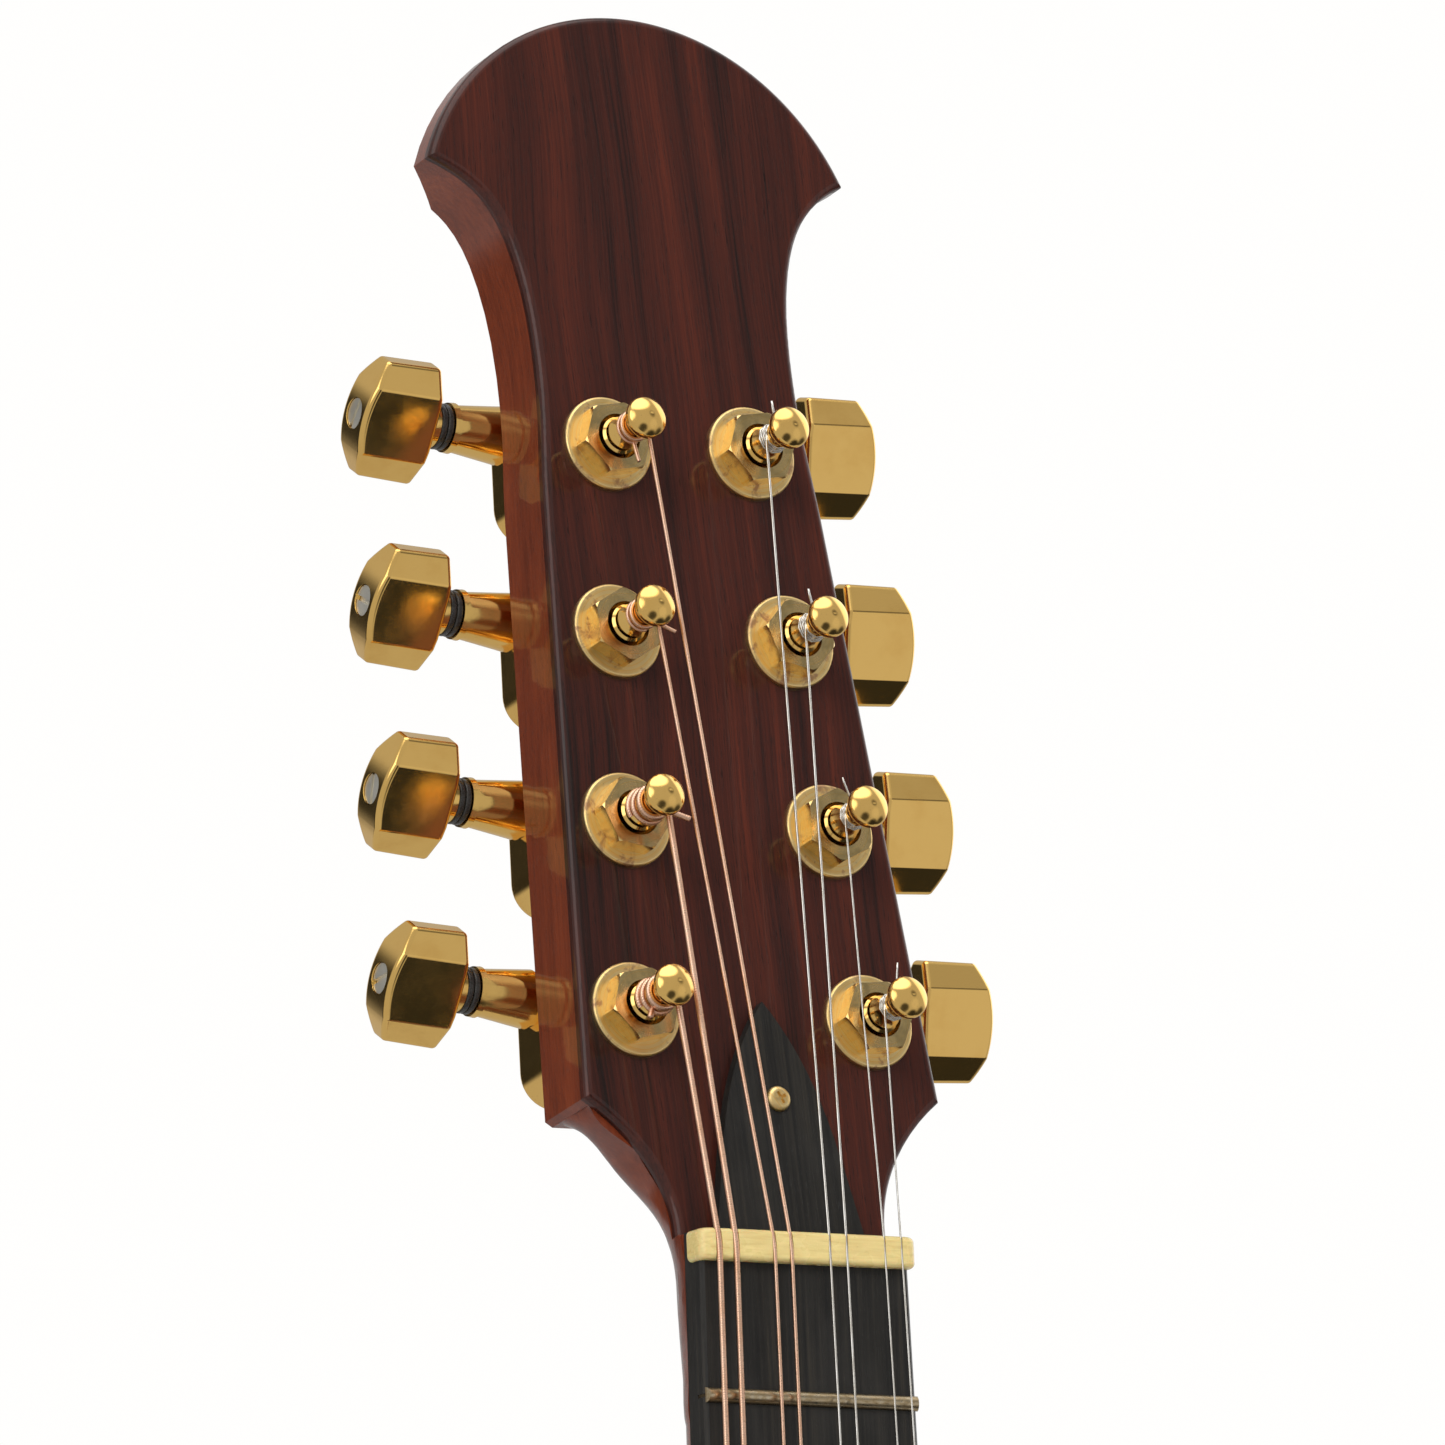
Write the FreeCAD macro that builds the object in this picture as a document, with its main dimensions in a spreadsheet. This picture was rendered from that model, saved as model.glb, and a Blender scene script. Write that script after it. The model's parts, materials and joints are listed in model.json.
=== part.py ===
"""Eight-string flat-top bouzouki, modelled as its real pieces.

Part frame, in millimetres: +Z runs up the instrument from the tail to the headstock, -Y is
the side of the soundboard and the strings, and -X is the bass side.  The origin is on the
tail, where the end pin's axis meets the sides, half way through the body's depth.
"""
import math
import os

import FreeCAD, Part
import Sketcher
from FreeCAD import Placement, Rotation, Vector

doc = FreeCAD.newDocument("bouzouki")

# --------------------------------------------------------------------------------------
# Driving dimensions
# --------------------------------------------------------------------------------------
DRIVING_DIMENSIONS = [
    # strings and fretboard
    ("scale_length", 365.0),
    ("body_joint_fret", 14),
    ("fret_count", 20),
    ("board_width_at_nut", 36.4),
    ("board_taper", 0.0306),
    ("board_thickness", 4.8),
    ("board_bevel", 0.6),
    ("fret_crown_width", 2.3),
    ("fret_crown_height", 1.1),
    ("fret_tang_width", 0.55),
    ("fret_tang_depth", 2.2),
    ("marker_radius", 3.0),
    ("marker_depth", 1.2),
    ("nut_length", 37.8),
    ("nut_thickness", 4.8),
    ("nut_height", 4.7),
    ("nut_seat", 2.0),
    ("nut_end_radius", 1.9),
    ("nut_edge_radius", 0.85),
    ("pair_pitch", 9.65),
    ("pair_gap", 2.95),
    ("bridge_pair_pitch", 13.6),
    ("bridge_pair_gap", 3.4),
    ("string_height_at_nut", 1.85),
    ("string_height_at_bridge", 4.7),
    # body
    ("body_length", 320.0),
    ("body_depth", 68.4),
    ("lower_radius", 133.0),
    ("shoulder_angle", 25.0),
    ("body_top_half_width", 26.0),
    ("soundboard_thickness", 3.0),
    ("back_thickness", 3.0),
    ("side_thickness", 2.5),
    ("binding_width", 2.0),
    ("lining_width", 6.0),
    ("lining_height", 11.0),
    ("soundhole_radius", 39.0),
    ("soundhole_height", 214.0),
    ("rosette_inner_radius", 43.0),
    ("rosette_outer_radius", 49.0),
    ("rosette_depth", 1.2),
    ("brace_width", 7.0),
    ("brace_height", 12.0),
    ("block_height", 34.0),
    ("tenon_width", 16.0),
    ("tenon_length", 18.0),
    ("heel_height", 30.0),
    # neck and headstock
    ("neck_depth_at_nut", 15.0),
    ("neck_depth_at_heel", 17.5),
    ("head_tilt", 8.75),
    ("head_drop", 7.2),
    ("veneer_thickness", 1.9),
    ("core_thickness", 11.0),
    ("crown_radius", 39.3),
    ("crown_centre", 158.2),
    ("crown_shift", -0.7),
    ("crown_edge_thickness", 5.2),
    ("truss_channel_width", 6.0),
    ("truss_channel_depth", 9.0),
    ("truss_rod_radius", 2.4),
    ("cover_length", 37.5),
    ("cover_half_width", 12.9),
    ("cover_thickness", 1.8),
    ("cover_shift", 1.2),
    # tuners
    ("tuner_pitch", 30.4),
    ("first_tuner", 35.6),
    ("first_tuner_offset", 20.45),
    ("tuner_inset", 2.6),
    ("bass_shaft_angle", 4.9),
    ("treble_shaft_angle", 1.2),
    ("washer_radius", 7.5),
    ("washer_thickness", 1.0),
    ("hex_flats", 10.4),
    ("hex_height", 3.1),
    ("sleeve_radius", 4.75),
    ("sleeve_length", 10.0),
    ("head_hole_radius", 4.9),
    ("post_radius", 3.0),
    ("post_waist_radius", 1.9),
    ("post_cap_radius", 3.3),
    ("post_height", 14.3),
    ("string_post_height", 8.8),
    ("running_clearance", 0.05),
    ("gear_module", 0.6),
    ("wheel_teeth", 15),
    ("wheel_thickness", 2.4),
    ("worm_pitch_radius", 2.7),
    ("worm_depth", 19.2),
    ("worm_turns", 3),
    ("shaft_radius", 2.0),
    ("nozzle_end", 17.2),
    ("button_start", 19.5),
    ("button_end", 33.0),
    ("button_half_height", 9.4),
    ("button_thickness", 7.8),
    ("bass_button_turn", 38.0),
    ("treble_button_turn", 20.0),
]

sheet = doc.addObject("Spreadsheet::Sheet", "dims")
for row, (alias, number) in enumerate(DRIVING_DIMENSIONS, start=1):
    sheet.set("A%d" % row, alias)
    sheet.set("B%d" % row, str(number))
    sheet.setAlias("B%d" % row, alias)
doc.recompute()


def dim(alias):
    """One driving dimension, read back from the sheet."""
    return float(sheet.get(alias))


# --------------------------------------------------------------------------------------
# Places worked out from the driving dimensions
# --------------------------------------------------------------------------------------
SCALE = dim("scale_length")
FRONT = -dim("body_depth") / 2
BACK = dim("body_depth") / 2
BODY_TOP = dim("body_length")
BOARD_TOP = FRONT - dim("board_thickness")


def fret_distance(number):
    """Distance of a fret from the nut's playing face, in equal temperament."""
    return SCALE * (1 - 2 ** (-number / 12))


NUT_Z = BODY_TOP + fret_distance(dim("body_joint_fret"))
NUT_BACK_Z = NUT_Z + dim("nut_thickness")
BRIDGE_Z = NUT_Z - SCALE
BOARD_END_Z = NUT_Z - fret_distance(dim("fret_count")) - 4.0


def board_half_width(z):
    """Half the fretboard's width at a height."""
    return (dim("board_width_at_nut") + dim("board_taper") * (NUT_Z - z)) / 2


# The headstock's own frame: u across (+X), v towards the crown, w out of its front face.
TILT = math.radians(dim("head_tilt"))
HEAD_V = Vector(0, math.sin(TILT), math.cos(TILT))
HEAD_W = Vector(0, -math.cos(TILT), math.sin(TILT))
HEAD_ORIGIN = Vector(0, BOARD_TOP + dim("head_drop"), NUT_BACK_Z)
HEAD_THICKNESS = dim("veneer_thickness") + dim("core_thickness")


def frame_placement(origin, x_axis, z_axis):
    """A placement whose local X and Z axes point along the two given directions."""
    y_axis = z_axis.cross(x_axis)
    matrix = FreeCAD.Matrix(
        x_axis.x, y_axis.x, z_axis.x, origin.x,
        x_axis.y, y_axis.y, z_axis.y, origin.y,
        x_axis.z, y_axis.z, z_axis.z, origin.z,
        0, 0, 0, 1)
    return Placement(matrix)


HEAD_PLACEMENT = frame_placement(HEAD_ORIGIN, Vector(1, 0, 0), HEAD_W)


def head_point(u, v, w):
    """A point given in the headstock's frame, in the part frame."""
    return HEAD_ORIGIN + Vector(u, 0, 0) + HEAD_V * v + HEAD_W * w


# --------------------------------------------------------------------------------------
# Helpers for bodies, sketches and features
# --------------------------------------------------------------------------------------
SUBPARTS = []


def keep(thing, label):
    """Register an object as a sub-part; its Label names its file."""
    thing.Label = label
    SUBPARTS.append(thing)
    return thing


def new_body(name, placement=None):
    body = doc.addObject("PartDesign::Body", name)
    if placement is not None:
        body.Placement = placement
    return body


def origin_plane(body, role):
    for feature in body.Origin.OriginFeatures:
        if feature.Role == role:
            return feature
    raise ValueError(role)


def add_sketch(body, role, geometry, lift=0.0, lift_formula=None):
    """A sketch on one of the body's origin planes, lifted along the plane's normal."""
    sketch = body.newObject("Sketcher::SketchObject", body.Name + "_sketch")
    sketch.AttachmentSupport = (origin_plane(body, role), [""])
    sketch.MapMode = "FlatFace"
    sketch.AttachmentOffset = Placement(Vector(0, 0, lift), Rotation())
    if lift_formula:
        sketch.setExpression("AttachmentOffset.Base.z", lift_formula)
    sketch.addGeometry(geometry, False)
    return sketch


def bind_circles(sketch, formulas):
    """Tie each full circle's radius in a sketch to a formula, in the order drawn."""
    circles = [i for i, g in enumerate(sketch.Geometry) if isinstance(g, Part.Circle)]
    for index, formula in zip(circles, formulas):
        radius = Sketcher.Constraint("Radius", index, sketch.Geometry[index].Radius)
        number = sketch.addConstraint(radius)
        sketch.setExpression("Constraints[%d]" % number, formula)


def pad(body, sketch, length_formula, backwards=False):
    feature = body.newObject("PartDesign::Pad", body.Name + "_pad")
    feature.Profile = sketch
    feature.setExpression("Length", length_formula)
    feature.Reversed = backwards
    sketch.Visibility = False
    doc.recompute()
    return feature


def pocket(body, sketch, depth_formula, backwards=False):
    """A pocket that has to remove material."""
    before = body.Shape.Volume
    feature = body.newObject("PartDesign::Pocket", body.Name + "_pocket")
    feature.Profile = sketch
    feature.setExpression("Length", depth_formula)
    feature.Reversed = backwards
    doc.recompute()
    if body.Shape.Volume > before - 1e-3:
        raise RuntimeError("pocket cuts nothing in " + body.Name)
    return feature


def revolve(body, sketch, axis_name="V_Axis"):
    feature = body.newObject("PartDesign::Revolution", body.Name + "_revolution")
    feature.Profile = sketch
    feature.ReferenceAxis = (sketch, [axis_name])
    feature.Angle = 360
    doc.recompute()
    return feature


def soften(body, kind, size_formula, wanted):
    """Fillet or chamfer the edges of the body's shape that a test accepts."""
    base = body.Tip
    names = ["Edge%d" % (i + 1) for i, edge in enumerate(base.Shape.Edges) if wanted(edge)]
    feature = body.newObject("PartDesign::" + kind, body.Name + "_" + kind.lower())
    feature.Base = (base, names)
    feature.setExpression("Radius" if kind == "Fillet" else "Size", size_formula)
    doc.recompute()
    return feature


def shape_object(name, shape, placement=None):
    feature = doc.addObject("Part::Feature", name)
    feature.Shape = shape
    if placement is not None:
        feature.Placement = placement
    return feature


def boolean(kind, name, base, tool):
    feature = doc.addObject("Part::" + kind, name)
    feature.Base = base
    feature.Tool = tool
    doc.recompute()
    return feature


def group(name, shapes):
    """Several separate solids of one kind, kept together as one sub-part."""
    return keep(shape_object(name, Part.makeCompound(shapes)), name)


def line(x0, y0, x1, y1):
    return Part.LineSegment(Vector(x0, y0, 0), Vector(x1, y1, 0))


def arc(start, middle, end):
    return Part.Arc(Vector(start[0], start[1], 0), Vector(middle[0], middle[1], 0),
                    Vector(end[0], end[1], 0))


def circle(x, y, radius):
    return Part.Circle(Vector(x, y, 0), Vector(0, 0, 1), radius)


def polygon(points):
    """Closed loop of straight lines through the points."""
    ends = points[1:] + points[:1]
    return [line(a[0], a[1], b[0], b[1]) for a, b in zip(points, ends)]


def rectangle(x0, y0, x1, y1):
    return polygon([(x0, y0), (x1, y0), (x1, y1), (x0, y1)])


def box(x0, y0, z0, x1, y1, z1):
    return Part.makeBox(x1 - x0, y1 - y0, z1 - z0, Vector(x0, y0, z0))


def rod(start, end, radius):
    axis = end - start
    return Part.makeCylinder(radius, axis.Length, start, axis)


# --------------------------------------------------------------------------------------
# Body outline: a round lower bout, a long shoulder arc on each side, a flat at the neck
# --------------------------------------------------------------------------------------
SHOULDER = math.radians(dim("shoulder_angle"))
LOWER_R = dim("lower_radius")
TANGENT = Vector(LOWER_R * math.cos(SHOULDER), LOWER_R * (1 + math.sin(SHOULDER)), 0)
OUTWARD = Vector(math.cos(SHOULDER), math.sin(SHOULDER), 0)
TO_TOP = Vector(dim("body_top_half_width"), BODY_TOP, 0) - TANGENT
SHOULDER_R = -TO_TOP.dot(TO_TOP) / (2 * TO_TOP.dot(OUTWARD))
SHOULDER_CENTRE = TANGENT - OUTWARD * SHOULDER_R


def outline_half_width(z, inset):
    """Half the body's width at a height, for an outline moved inwards."""
    if z > TANGENT.y - inset * OUTWARD.y:
        radius = SHOULDER_R - inset
        return SHOULDER_CENTRE.x + math.sqrt(radius ** 2 - (z - SHOULDER_CENTRE.y) ** 2)
    return math.sqrt(max((LOWER_R - inset) ** 2 - (z - LOWER_R) ** 2, 0))


def body_outline(inset):
    """The closed outline in X and Z, moved inwards by an inset."""
    top_z = BODY_TOP - inset
    top_x = outline_half_width(top_z, inset)
    low = TANGENT - OUTWARD * inset
    mid_z = (low.y + top_z) / 2
    mid_x = outline_half_width(mid_z, inset)
    return [
        arc((-low.x, low.y), (0, inset), (low.x, low.y)),
        arc((low.x, low.y), (mid_x, mid_z), (top_x, top_z)),
        line(top_x, top_z, -top_x, top_z),
        arc((-top_x, top_z), (-mid_x, mid_z), (-low.x, low.y)),
    ]


def make_soundboard():
    body = new_body("soundboard_board")
    outline = body_outline(dim("binding_width"))
    hole = circle(0, dim("soundhole_height"), dim("soundhole_radius"))
    sketch = add_sketch(body, "XZ_Plane", outline + [hole],
                        lift_formula="dims.body_depth / 2 - dims.soundboard_thickness")
    bind_circles(sketch, ["dims.soundhole_radius"])
    pad(body, sketch, "dims.soundboard_thickness")
    ring = [circle(0, dim("soundhole_height"), dim("rosette_outer_radius")),
            circle(0, dim("soundhole_height"), dim("rosette_inner_radius"))]
    channel = add_sketch(body, "XZ_Plane", ring, lift_formula="dims.body_depth / 2")
    bind_circles(channel, ["dims.rosette_outer_radius", "dims.rosette_inner_radius"])
    pocket(body, channel, "dims.rosette_depth")
    keep(body, "soundboard")


def make_rosette():
    body = new_body("rosette_ring")
    ring = [circle(0, dim("soundhole_height"), dim("rosette_outer_radius")),
            circle(0, dim("soundhole_height"), dim("rosette_inner_radius"))]
    sketch = add_sketch(body, "XZ_Plane", ring,
                        lift_formula="dims.body_depth / 2 - dims.rosette_depth")
    bind_circles(sketch, ["dims.rosette_outer_radius", "dims.rosette_inner_radius"])
    pad(body, sketch, "dims.rosette_depth")
    keep(body, "rosette")


def make_back():
    body = new_body("back_board")
    sketch = add_sketch(body, "XZ_Plane", body_outline(dim("binding_width")),
                        lift_formula="-dims.body_depth / 2")
    pad(body, sketch, "dims.back_thickness")
    keep(body, "back_plate")


def outline_ring(outer_inset, inner_inset, y_front, y_back):
    """A band that follows the outline, between two insets and two depths."""
    rings = []
    for inset in (outer_inset, inner_inset):
        edges = [piece.toShape() for piece in body_outline(inset)]
        face = Part.Face(Part.Wire(edges))
        solid = face.extrude(Vector(0, 0, y_back - y_front))
        solid.rotate(Vector(), Vector(1, 0, 0), 90)
        solid.translate(Vector(0, y_back, 0))
        rings.append(solid)
    return rings[0].cut(rings[1])


def tenon_box(clearance=0.0):
    half = dim("tenon_width") / 2 + clearance
    return box(-half, FRONT + 6, BODY_TOP - dim("tenon_length") - clearance,
               half, BACK - 12 + clearance, BODY_TOP + 1)


def end_pin_hole():
    return rod(Vector(0, 0, -5), Vector(0, 0, dim("block_height") + 5), 4.0)


TAIL_SCREWS_X = (-11.0, 11.0)
TAIL_SCREWS_Y = 9.0


def tail_screw_holes():
    return [rod(Vector(x, TAIL_SCREWS_Y, -6), Vector(x, TAIL_SCREWS_Y, 12), 1.3)
            for x in TAIL_SCREWS_X]


def make_sides():
    front = FRONT + dim("soundboard_thickness")
    back = BACK - dim("back_thickness")
    ring = outline_ring(0, dim("side_thickness"), front, back)
    shape = ring.cut([tenon_box(), end_pin_hole()] + tail_screw_holes())
    keep(shape_object("sides", shape), "sides")


def make_binding():
    inner = dim("binding_width")
    front = outline_ring(0, inner, FRONT, FRONT + dim("soundboard_thickness"))
    back = outline_ring(0, inner, BACK - dim("back_thickness"), BACK)
    group("binding", [front, back])


def neck_block_box():
    inner = BODY_TOP - dim("side_thickness")
    half = outline_half_width(inner, dim("side_thickness"))
    return box(-half + 1, FRONT + dim("soundboard_thickness"), inner - dim("block_height"),
               half - 1, BACK - dim("back_thickness"), inner)


def tail_block_box():
    return box(-30, FRONT + dim("soundboard_thickness"), 0, 30, BACK - dim("back_thickness"),
               dim("block_height") - 6)


def make_blocks():
    neck = neck_block_box().cut(tenon_box())
    keep(shape_object("neck_block", neck), "neck_block")
    inside = outline_ring(dim("side_thickness"), LOWER_R - 20, FRONT, BACK)
    tail = tail_block_box().common(inside).cut(end_pin_hole())
    keep(shape_object("tail_block", tail), "tail_block")


def make_linings():
    outer = dim("side_thickness")
    inner = outer + dim("lining_width")
    front = FRONT + dim("soundboard_thickness")
    back = BACK - dim("back_thickness")
    strips = [outline_ring(outer, inner, front, front + dim("lining_height")),
              outline_ring(outer, inner, back - dim("lining_height"), back)]
    blocks = [neck_block_box(), tail_block_box()]
    group("linings", [strip.cut(blocks) for strip in strips])


def cross_brace(z, y_board, inward):
    """A bar across the body with scalloped ends, on the board at y_board."""
    inset = dim("side_thickness") + dim("lining_width") + 1
    low, high = z - dim("brace_width") / 2, z + dim("brace_width") / 2
    half = min(outline_half_width(low, inset), outline_half_width(high, inset)) - 1
    deep = inward * dim("brace_height")
    scallop = 22.0
    points = [(-half, 0), (half, 0), (half, deep * 0.3), (half - scallop, deep),
              (-half + scallop, deep), (-half, deep * 0.3)]
    wire = Part.makePolygon([Vector(x, y_board + y, low) for x, y in points + points[:1]])
    return Part.Face(wire).extrude(Vector(0, 0, high - low))


def make_braces():
    front = FRONT + dim("soundboard_thickness")
    hole_z = dim("soundhole_height")
    clear = dim("rosette_outer_radius") + dim("brace_width")
    group("soundboard_braces",
          [cross_brace(z, front, 1) for z in (hole_z + clear, hole_z - clear, 96.0, 52.0)])
    back = BACK - dim("back_thickness")
    group("back_braces", [cross_brace(z, back, -1) for z in (250.0, 160.0, 70.0)])


# --------------------------------------------------------------------------------------
# Headstock outline, in the headstock's own u and v
# --------------------------------------------------------------------------------------
# for each side: half width at the nut, then the shoulder corner's distance out and up
SHOULDERS = {-1: (17.6, 30.6, 21.6), 1: (19.4, 31.8, 23.6)}
SHOULDER_CURVE = 2.37
STRAIGHT_TOP_V = 118.0
STRAIGHT_TOP_U = 24.4
WAIST_V = 143.0
WAIST_U = 22.7
EAR_U = 36.7


def shoulder_reach(sign, v):
    """Distance from the middle out to the concave shoulder, v above the nut."""
    start, corner_u, corner_v = SHOULDERS[sign]
    return start + (corner_u - start) * (v / corner_v) ** SHOULDER_CURVE


def head_outline():
    """Closed outline: concave shoulders, straight tapered sides, waist, ears and crown."""
    ear_v = dim("crown_centre") + math.sqrt(dim("crown_radius") ** 2 - EAR_U ** 2)
    crown_top = dim("crown_centre") + dim("crown_radius")
    shift = dim("crown_shift")

    def side(sign):
        corner_u, corner_v = SHOULDERS[sign][1:]
        shoulder = Part.BSplineCurve()
        shoulder.interpolate([Vector(sign * shoulder_reach(sign, part * corner_v),
                                     part * corner_v, 0) for part in (0, 0.4, 0.74, 1.0)])
        waist = Part.BSplineCurve()
        points = [Vector(sign * u, v, 0) for u, v in
                  ((STRAIGHT_TOP_U, STRAIGHT_TOP_V), (23.1, 131), (WAIST_U, WAIST_V),
                   (24.4, 157.5), (28.8, 166.9))]
        waist.interpolate(
            points + [Vector(sign * EAR_U + shift, ear_v, 0)],
            InitialTangent=Vector(sign * (STRAIGHT_TOP_U - corner_u),
                                  STRAIGHT_TOP_V - corner_v, 0).normalize(),
            FinalTangent=Vector(sign * 9.0, 3.4, 0).normalize())
        straight = line(sign * corner_u, corner_v, sign * STRAIGHT_TOP_U, STRAIGHT_TOP_V)
        return [shoulder, straight, waist]

    crown = arc((EAR_U + shift, ear_v), (shift, crown_top), (-EAR_U + shift, ear_v))
    bottom = line(-SHOULDERS[-1][0], 0, SHOULDERS[1][0], 0)
    return side(1) + [crown] + side(-1) + [bottom]


TUNERS = []
for place in range(4):
    for side_sign in (-1, 1):
        TUNERS.append((side_sign, place))


def tuner_uv(side_sign, place):
    """Post axis on the headstock's face; place 0 is the pair nearest the nut."""
    u = side_sign * (dim("first_tuner_offset") - dim("tuner_inset") * place)
    return u, dim("first_tuner") + dim("tuner_pitch") * place


def tuner_placement(side_sign, place):
    """Local frame of a tuner: X out to its button, Z along its post out of the face."""
    u, v = tuner_uv(side_sign, place)
    lean = math.radians(dim("bass_shaft_angle" if side_sign < 0 else "treble_shaft_angle"))
    outward = Vector(side_sign * math.cos(lean), 0, 0) + HEAD_V * math.sin(lean)
    return frame_placement(head_point(u, v, 0), outward, HEAD_W)


def post_hole_circles():
    return [circle(*tuner_uv(sign, place), dim("head_hole_radius")) for sign, place in TUNERS]


def access_slot():
    """Slot under the cover through which the truss rod's nut is turned."""
    shift = dim("cover_shift")
    return [line(-4.5 + shift, 3, 4.5 + shift, 3), line(4.5 + shift, 3, 4.5 + shift, 14),
            arc((4.5 + shift, 14), (shift, 18.5), (-4.5 + shift, 14)),
            line(-4.5 + shift, 14, -4.5 + shift, 3)]


def make_headstock_face():
    body = new_body("face_veneer", HEAD_PLACEMENT)
    sketch = add_sketch(body, "XY_Plane", head_outline() + post_hole_circles() + access_slot(),
                        lift_formula="-dims.veneer_thickness")
    bind_circles(sketch, ["dims.head_hole_radius"] * len(TUNERS))
    pad(body, sketch, "dims.veneer_thickness")
    screw_u = dim("cover_shift") + COVER_SCREW_SHIFT
    cover_hole = add_sketch(body, "XY_Plane", [circle(screw_u, COVER_SCREW_V, COVER_SHANK + 0.02)])
    pocket(body, cover_hole, "dims.veneer_thickness")

    def on_front_outline(edge):
        box_ = edge.BoundBox
        flat = abs(box_.ZMax) < 1e-4 and abs(box_.ZMin) < 1e-4
        return flat and not is_inner(edge)

    def is_inner(edge):
        middle = edge.valueAt((edge.FirstParameter + edge.LastParameter) / 2)
        around = [(tuner_uv(s, p)) for s, p in TUNERS] + [(dim("cover_shift"), 10.0),
                                                          (screw_u, COVER_SCREW_V)]
        near = min(math.hypot(middle.x - u, middle.y - v) for u, v in around)
        return near < 9.0 or middle.y < 0.1

    soften(body, "Fillet", "dims.veneer_thickness * 0.6", on_front_outline)
    keep(body, "headstock_face")


# --------------------------------------------------------------------------------------
# Neck: head core, shaft with a rounded back, heel and tenon in one piece
# --------------------------------------------------------------------------------------
def rounded_section(half_width, depth, fullness):
    """Neck cross-section: flat on the front, a superellipse behind; local Y points back."""
    fine_steps, pieces = 400, 20
    fine = []
    for i in range(fine_steps + 1):
        c, s = math.cos(math.pi * i / fine_steps), math.sin(math.pi * i / fine_steps)
        x = half_width * math.copysign(abs(c) ** (2 / fullness), c)
        fine.append(Vector(x, depth * abs(s) ** (2 / fullness), 0))
    travelled = [0.0]
    for before, after in zip(fine, fine[1:]):
        travelled.append(travelled[-1] + (after - before).Length)
    points = [fine[0]]
    for i in range(1, pieces):
        wanted = travelled[-1] * i / pieces
        step = next(j for j in range(fine_steps) if travelled[j + 1] >= wanted)
        part = (wanted - travelled[step]) / (travelled[step + 1] - travelled[step])
        points.append(fine[step] + (fine[step + 1] - fine[step]) * part)
    points.append(fine[-1])
    curve = Part.BSplineCurve()
    curve.interpolate(points)
    return [curve, Part.LineSegment(points[-1], points[0])]


def section_wire(half_width, depth, fullness, placement):
    edges = [piece.toShape() for piece in rounded_section(half_width, depth, fullness)]
    wire = Part.Wire(edges)
    wire.Placement = placement
    return wire


def shaft_placement(z):
    return Placement(Vector(0, FRONT, z), Rotation())


BLEND_INSET = 0.15


def head_section(v, fullness):
    """Section between the shoulders, behind the veneer and just inside the slab's outline."""
    bass, treble = shoulder_reach(-1, v), shoulder_reach(1, v)
    origin = head_point((treble - bass) / 2, v, -dim("veneer_thickness"))
    placement = frame_placement(origin, Vector(1, 0, 0), HEAD_V)
    return section_wire((treble + bass) / 2 - BLEND_INSET, dim("core_thickness") - BLEND_INSET,
                        fullness, placement)


def crown_bevel():
    """What the bevel round the back of the crown takes away."""
    radius, edge = dim("crown_radius"), dim("crown_edge_thickness")
    deep = HEAD_THICKNESS - edge
    ring = Part.makeCylinder(radius + 20, deep + 1, Vector(0, 0, -HEAD_THICKNESS - 1))
    ring = ring.cut(Part.makeCone(radius - deep - 1, radius, deep + 1,
                                  Vector(0, 0, -HEAD_THICKNESS - 1)))
    ring = ring.common(Part.makeBox(120, 60, 40, Vector(-60, 0, -30)))
    ring.translate(Vector(dim("crown_shift"), dim("crown_centre"), 0))
    ring.Placement = HEAD_PLACEMENT.multiply(ring.Placement)
    return ring


def make_heel():
    """Tongue that narrows towards the back of the body."""
    height = dim("heel_height")
    wires = []
    for y, half, top in ((FRONT + 8, 19.5, height + 10), (FRONT + 26, 17.5, height - 8),
                         (BACK - 14, 15.0, height - 14), (BACK, 12.5, height - 16)):
        pieces = [line(-half, 0, half, 0), line(half, 0, half, top - half),
                  arc((half, top - half), (0, top), (-half, top - half)),
                  line(-half, top - half, -half, 0)]
        wire = Part.Wire([piece.toShape() for piece in pieces])
        wire.Placement = Placement(Vector(0, y, BODY_TOP), Rotation(Vector(1, 0, 0), 90))
        wires.append(wire)
    return Part.makeLoft(wires, True)


SHAFT_FULLNESS = 1.5
SQUARE_FULLNESS = 12.0
SQUARE_FROM_V = 20.8
BLEND_LENGTH = 24.0


def shaft_section(z, fullness):
    slope = (dim("neck_depth_at_heel") - dim("neck_depth_at_nut")) / (NUT_Z - BODY_TOP)
    depth = dim("neck_depth_at_nut") + slope * (NUT_Z - z)
    return section_wire(board_half_width(z), depth, fullness, shaft_placement(z))


def neck_blend():
    """The round shaft opening out into the square shoulders of the headstock."""
    sections = []
    for part in (0, 0.25, 0.5, 0.75, 1.0):
        sections.append(shaft_section(NUT_Z - BLEND_LENGTH * (1 - part),
                                      SHAFT_FULLNESS + 0.4 * part))
    for part in (1 / 3, 2 / 3, 1.0):
        fullness = 2.0 + (SQUARE_FULLNESS - 2.0) * part ** 2
        sections.append(head_section(SQUARE_FROM_V * part, fullness))
    return Part.makeLoft(sections, True)


def head_core():
    """The headstock's slab, from the shoulders up, with the crown thinned at the back."""
    core = new_body("head_core", HEAD_PLACEMENT)
    sketch = add_sketch(core, "XY_Plane", head_outline() + post_hole_circles() + access_slot(),
                        lift_formula="-dims.veneer_thickness - dims.core_thickness")
    bind_circles(sketch, ["dims.head_hole_radius"] * len(TUNERS))
    pad(core, sketch, "dims.core_thickness")
    doc.recompute()
    below_square = Part.makeBox(120, 30 + SQUARE_FROM_V, 40, Vector(-60, -30, -30))
    below_square.Placement = HEAD_PLACEMENT
    return core.Shape.cut([below_square, crown_bevel()])


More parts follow.
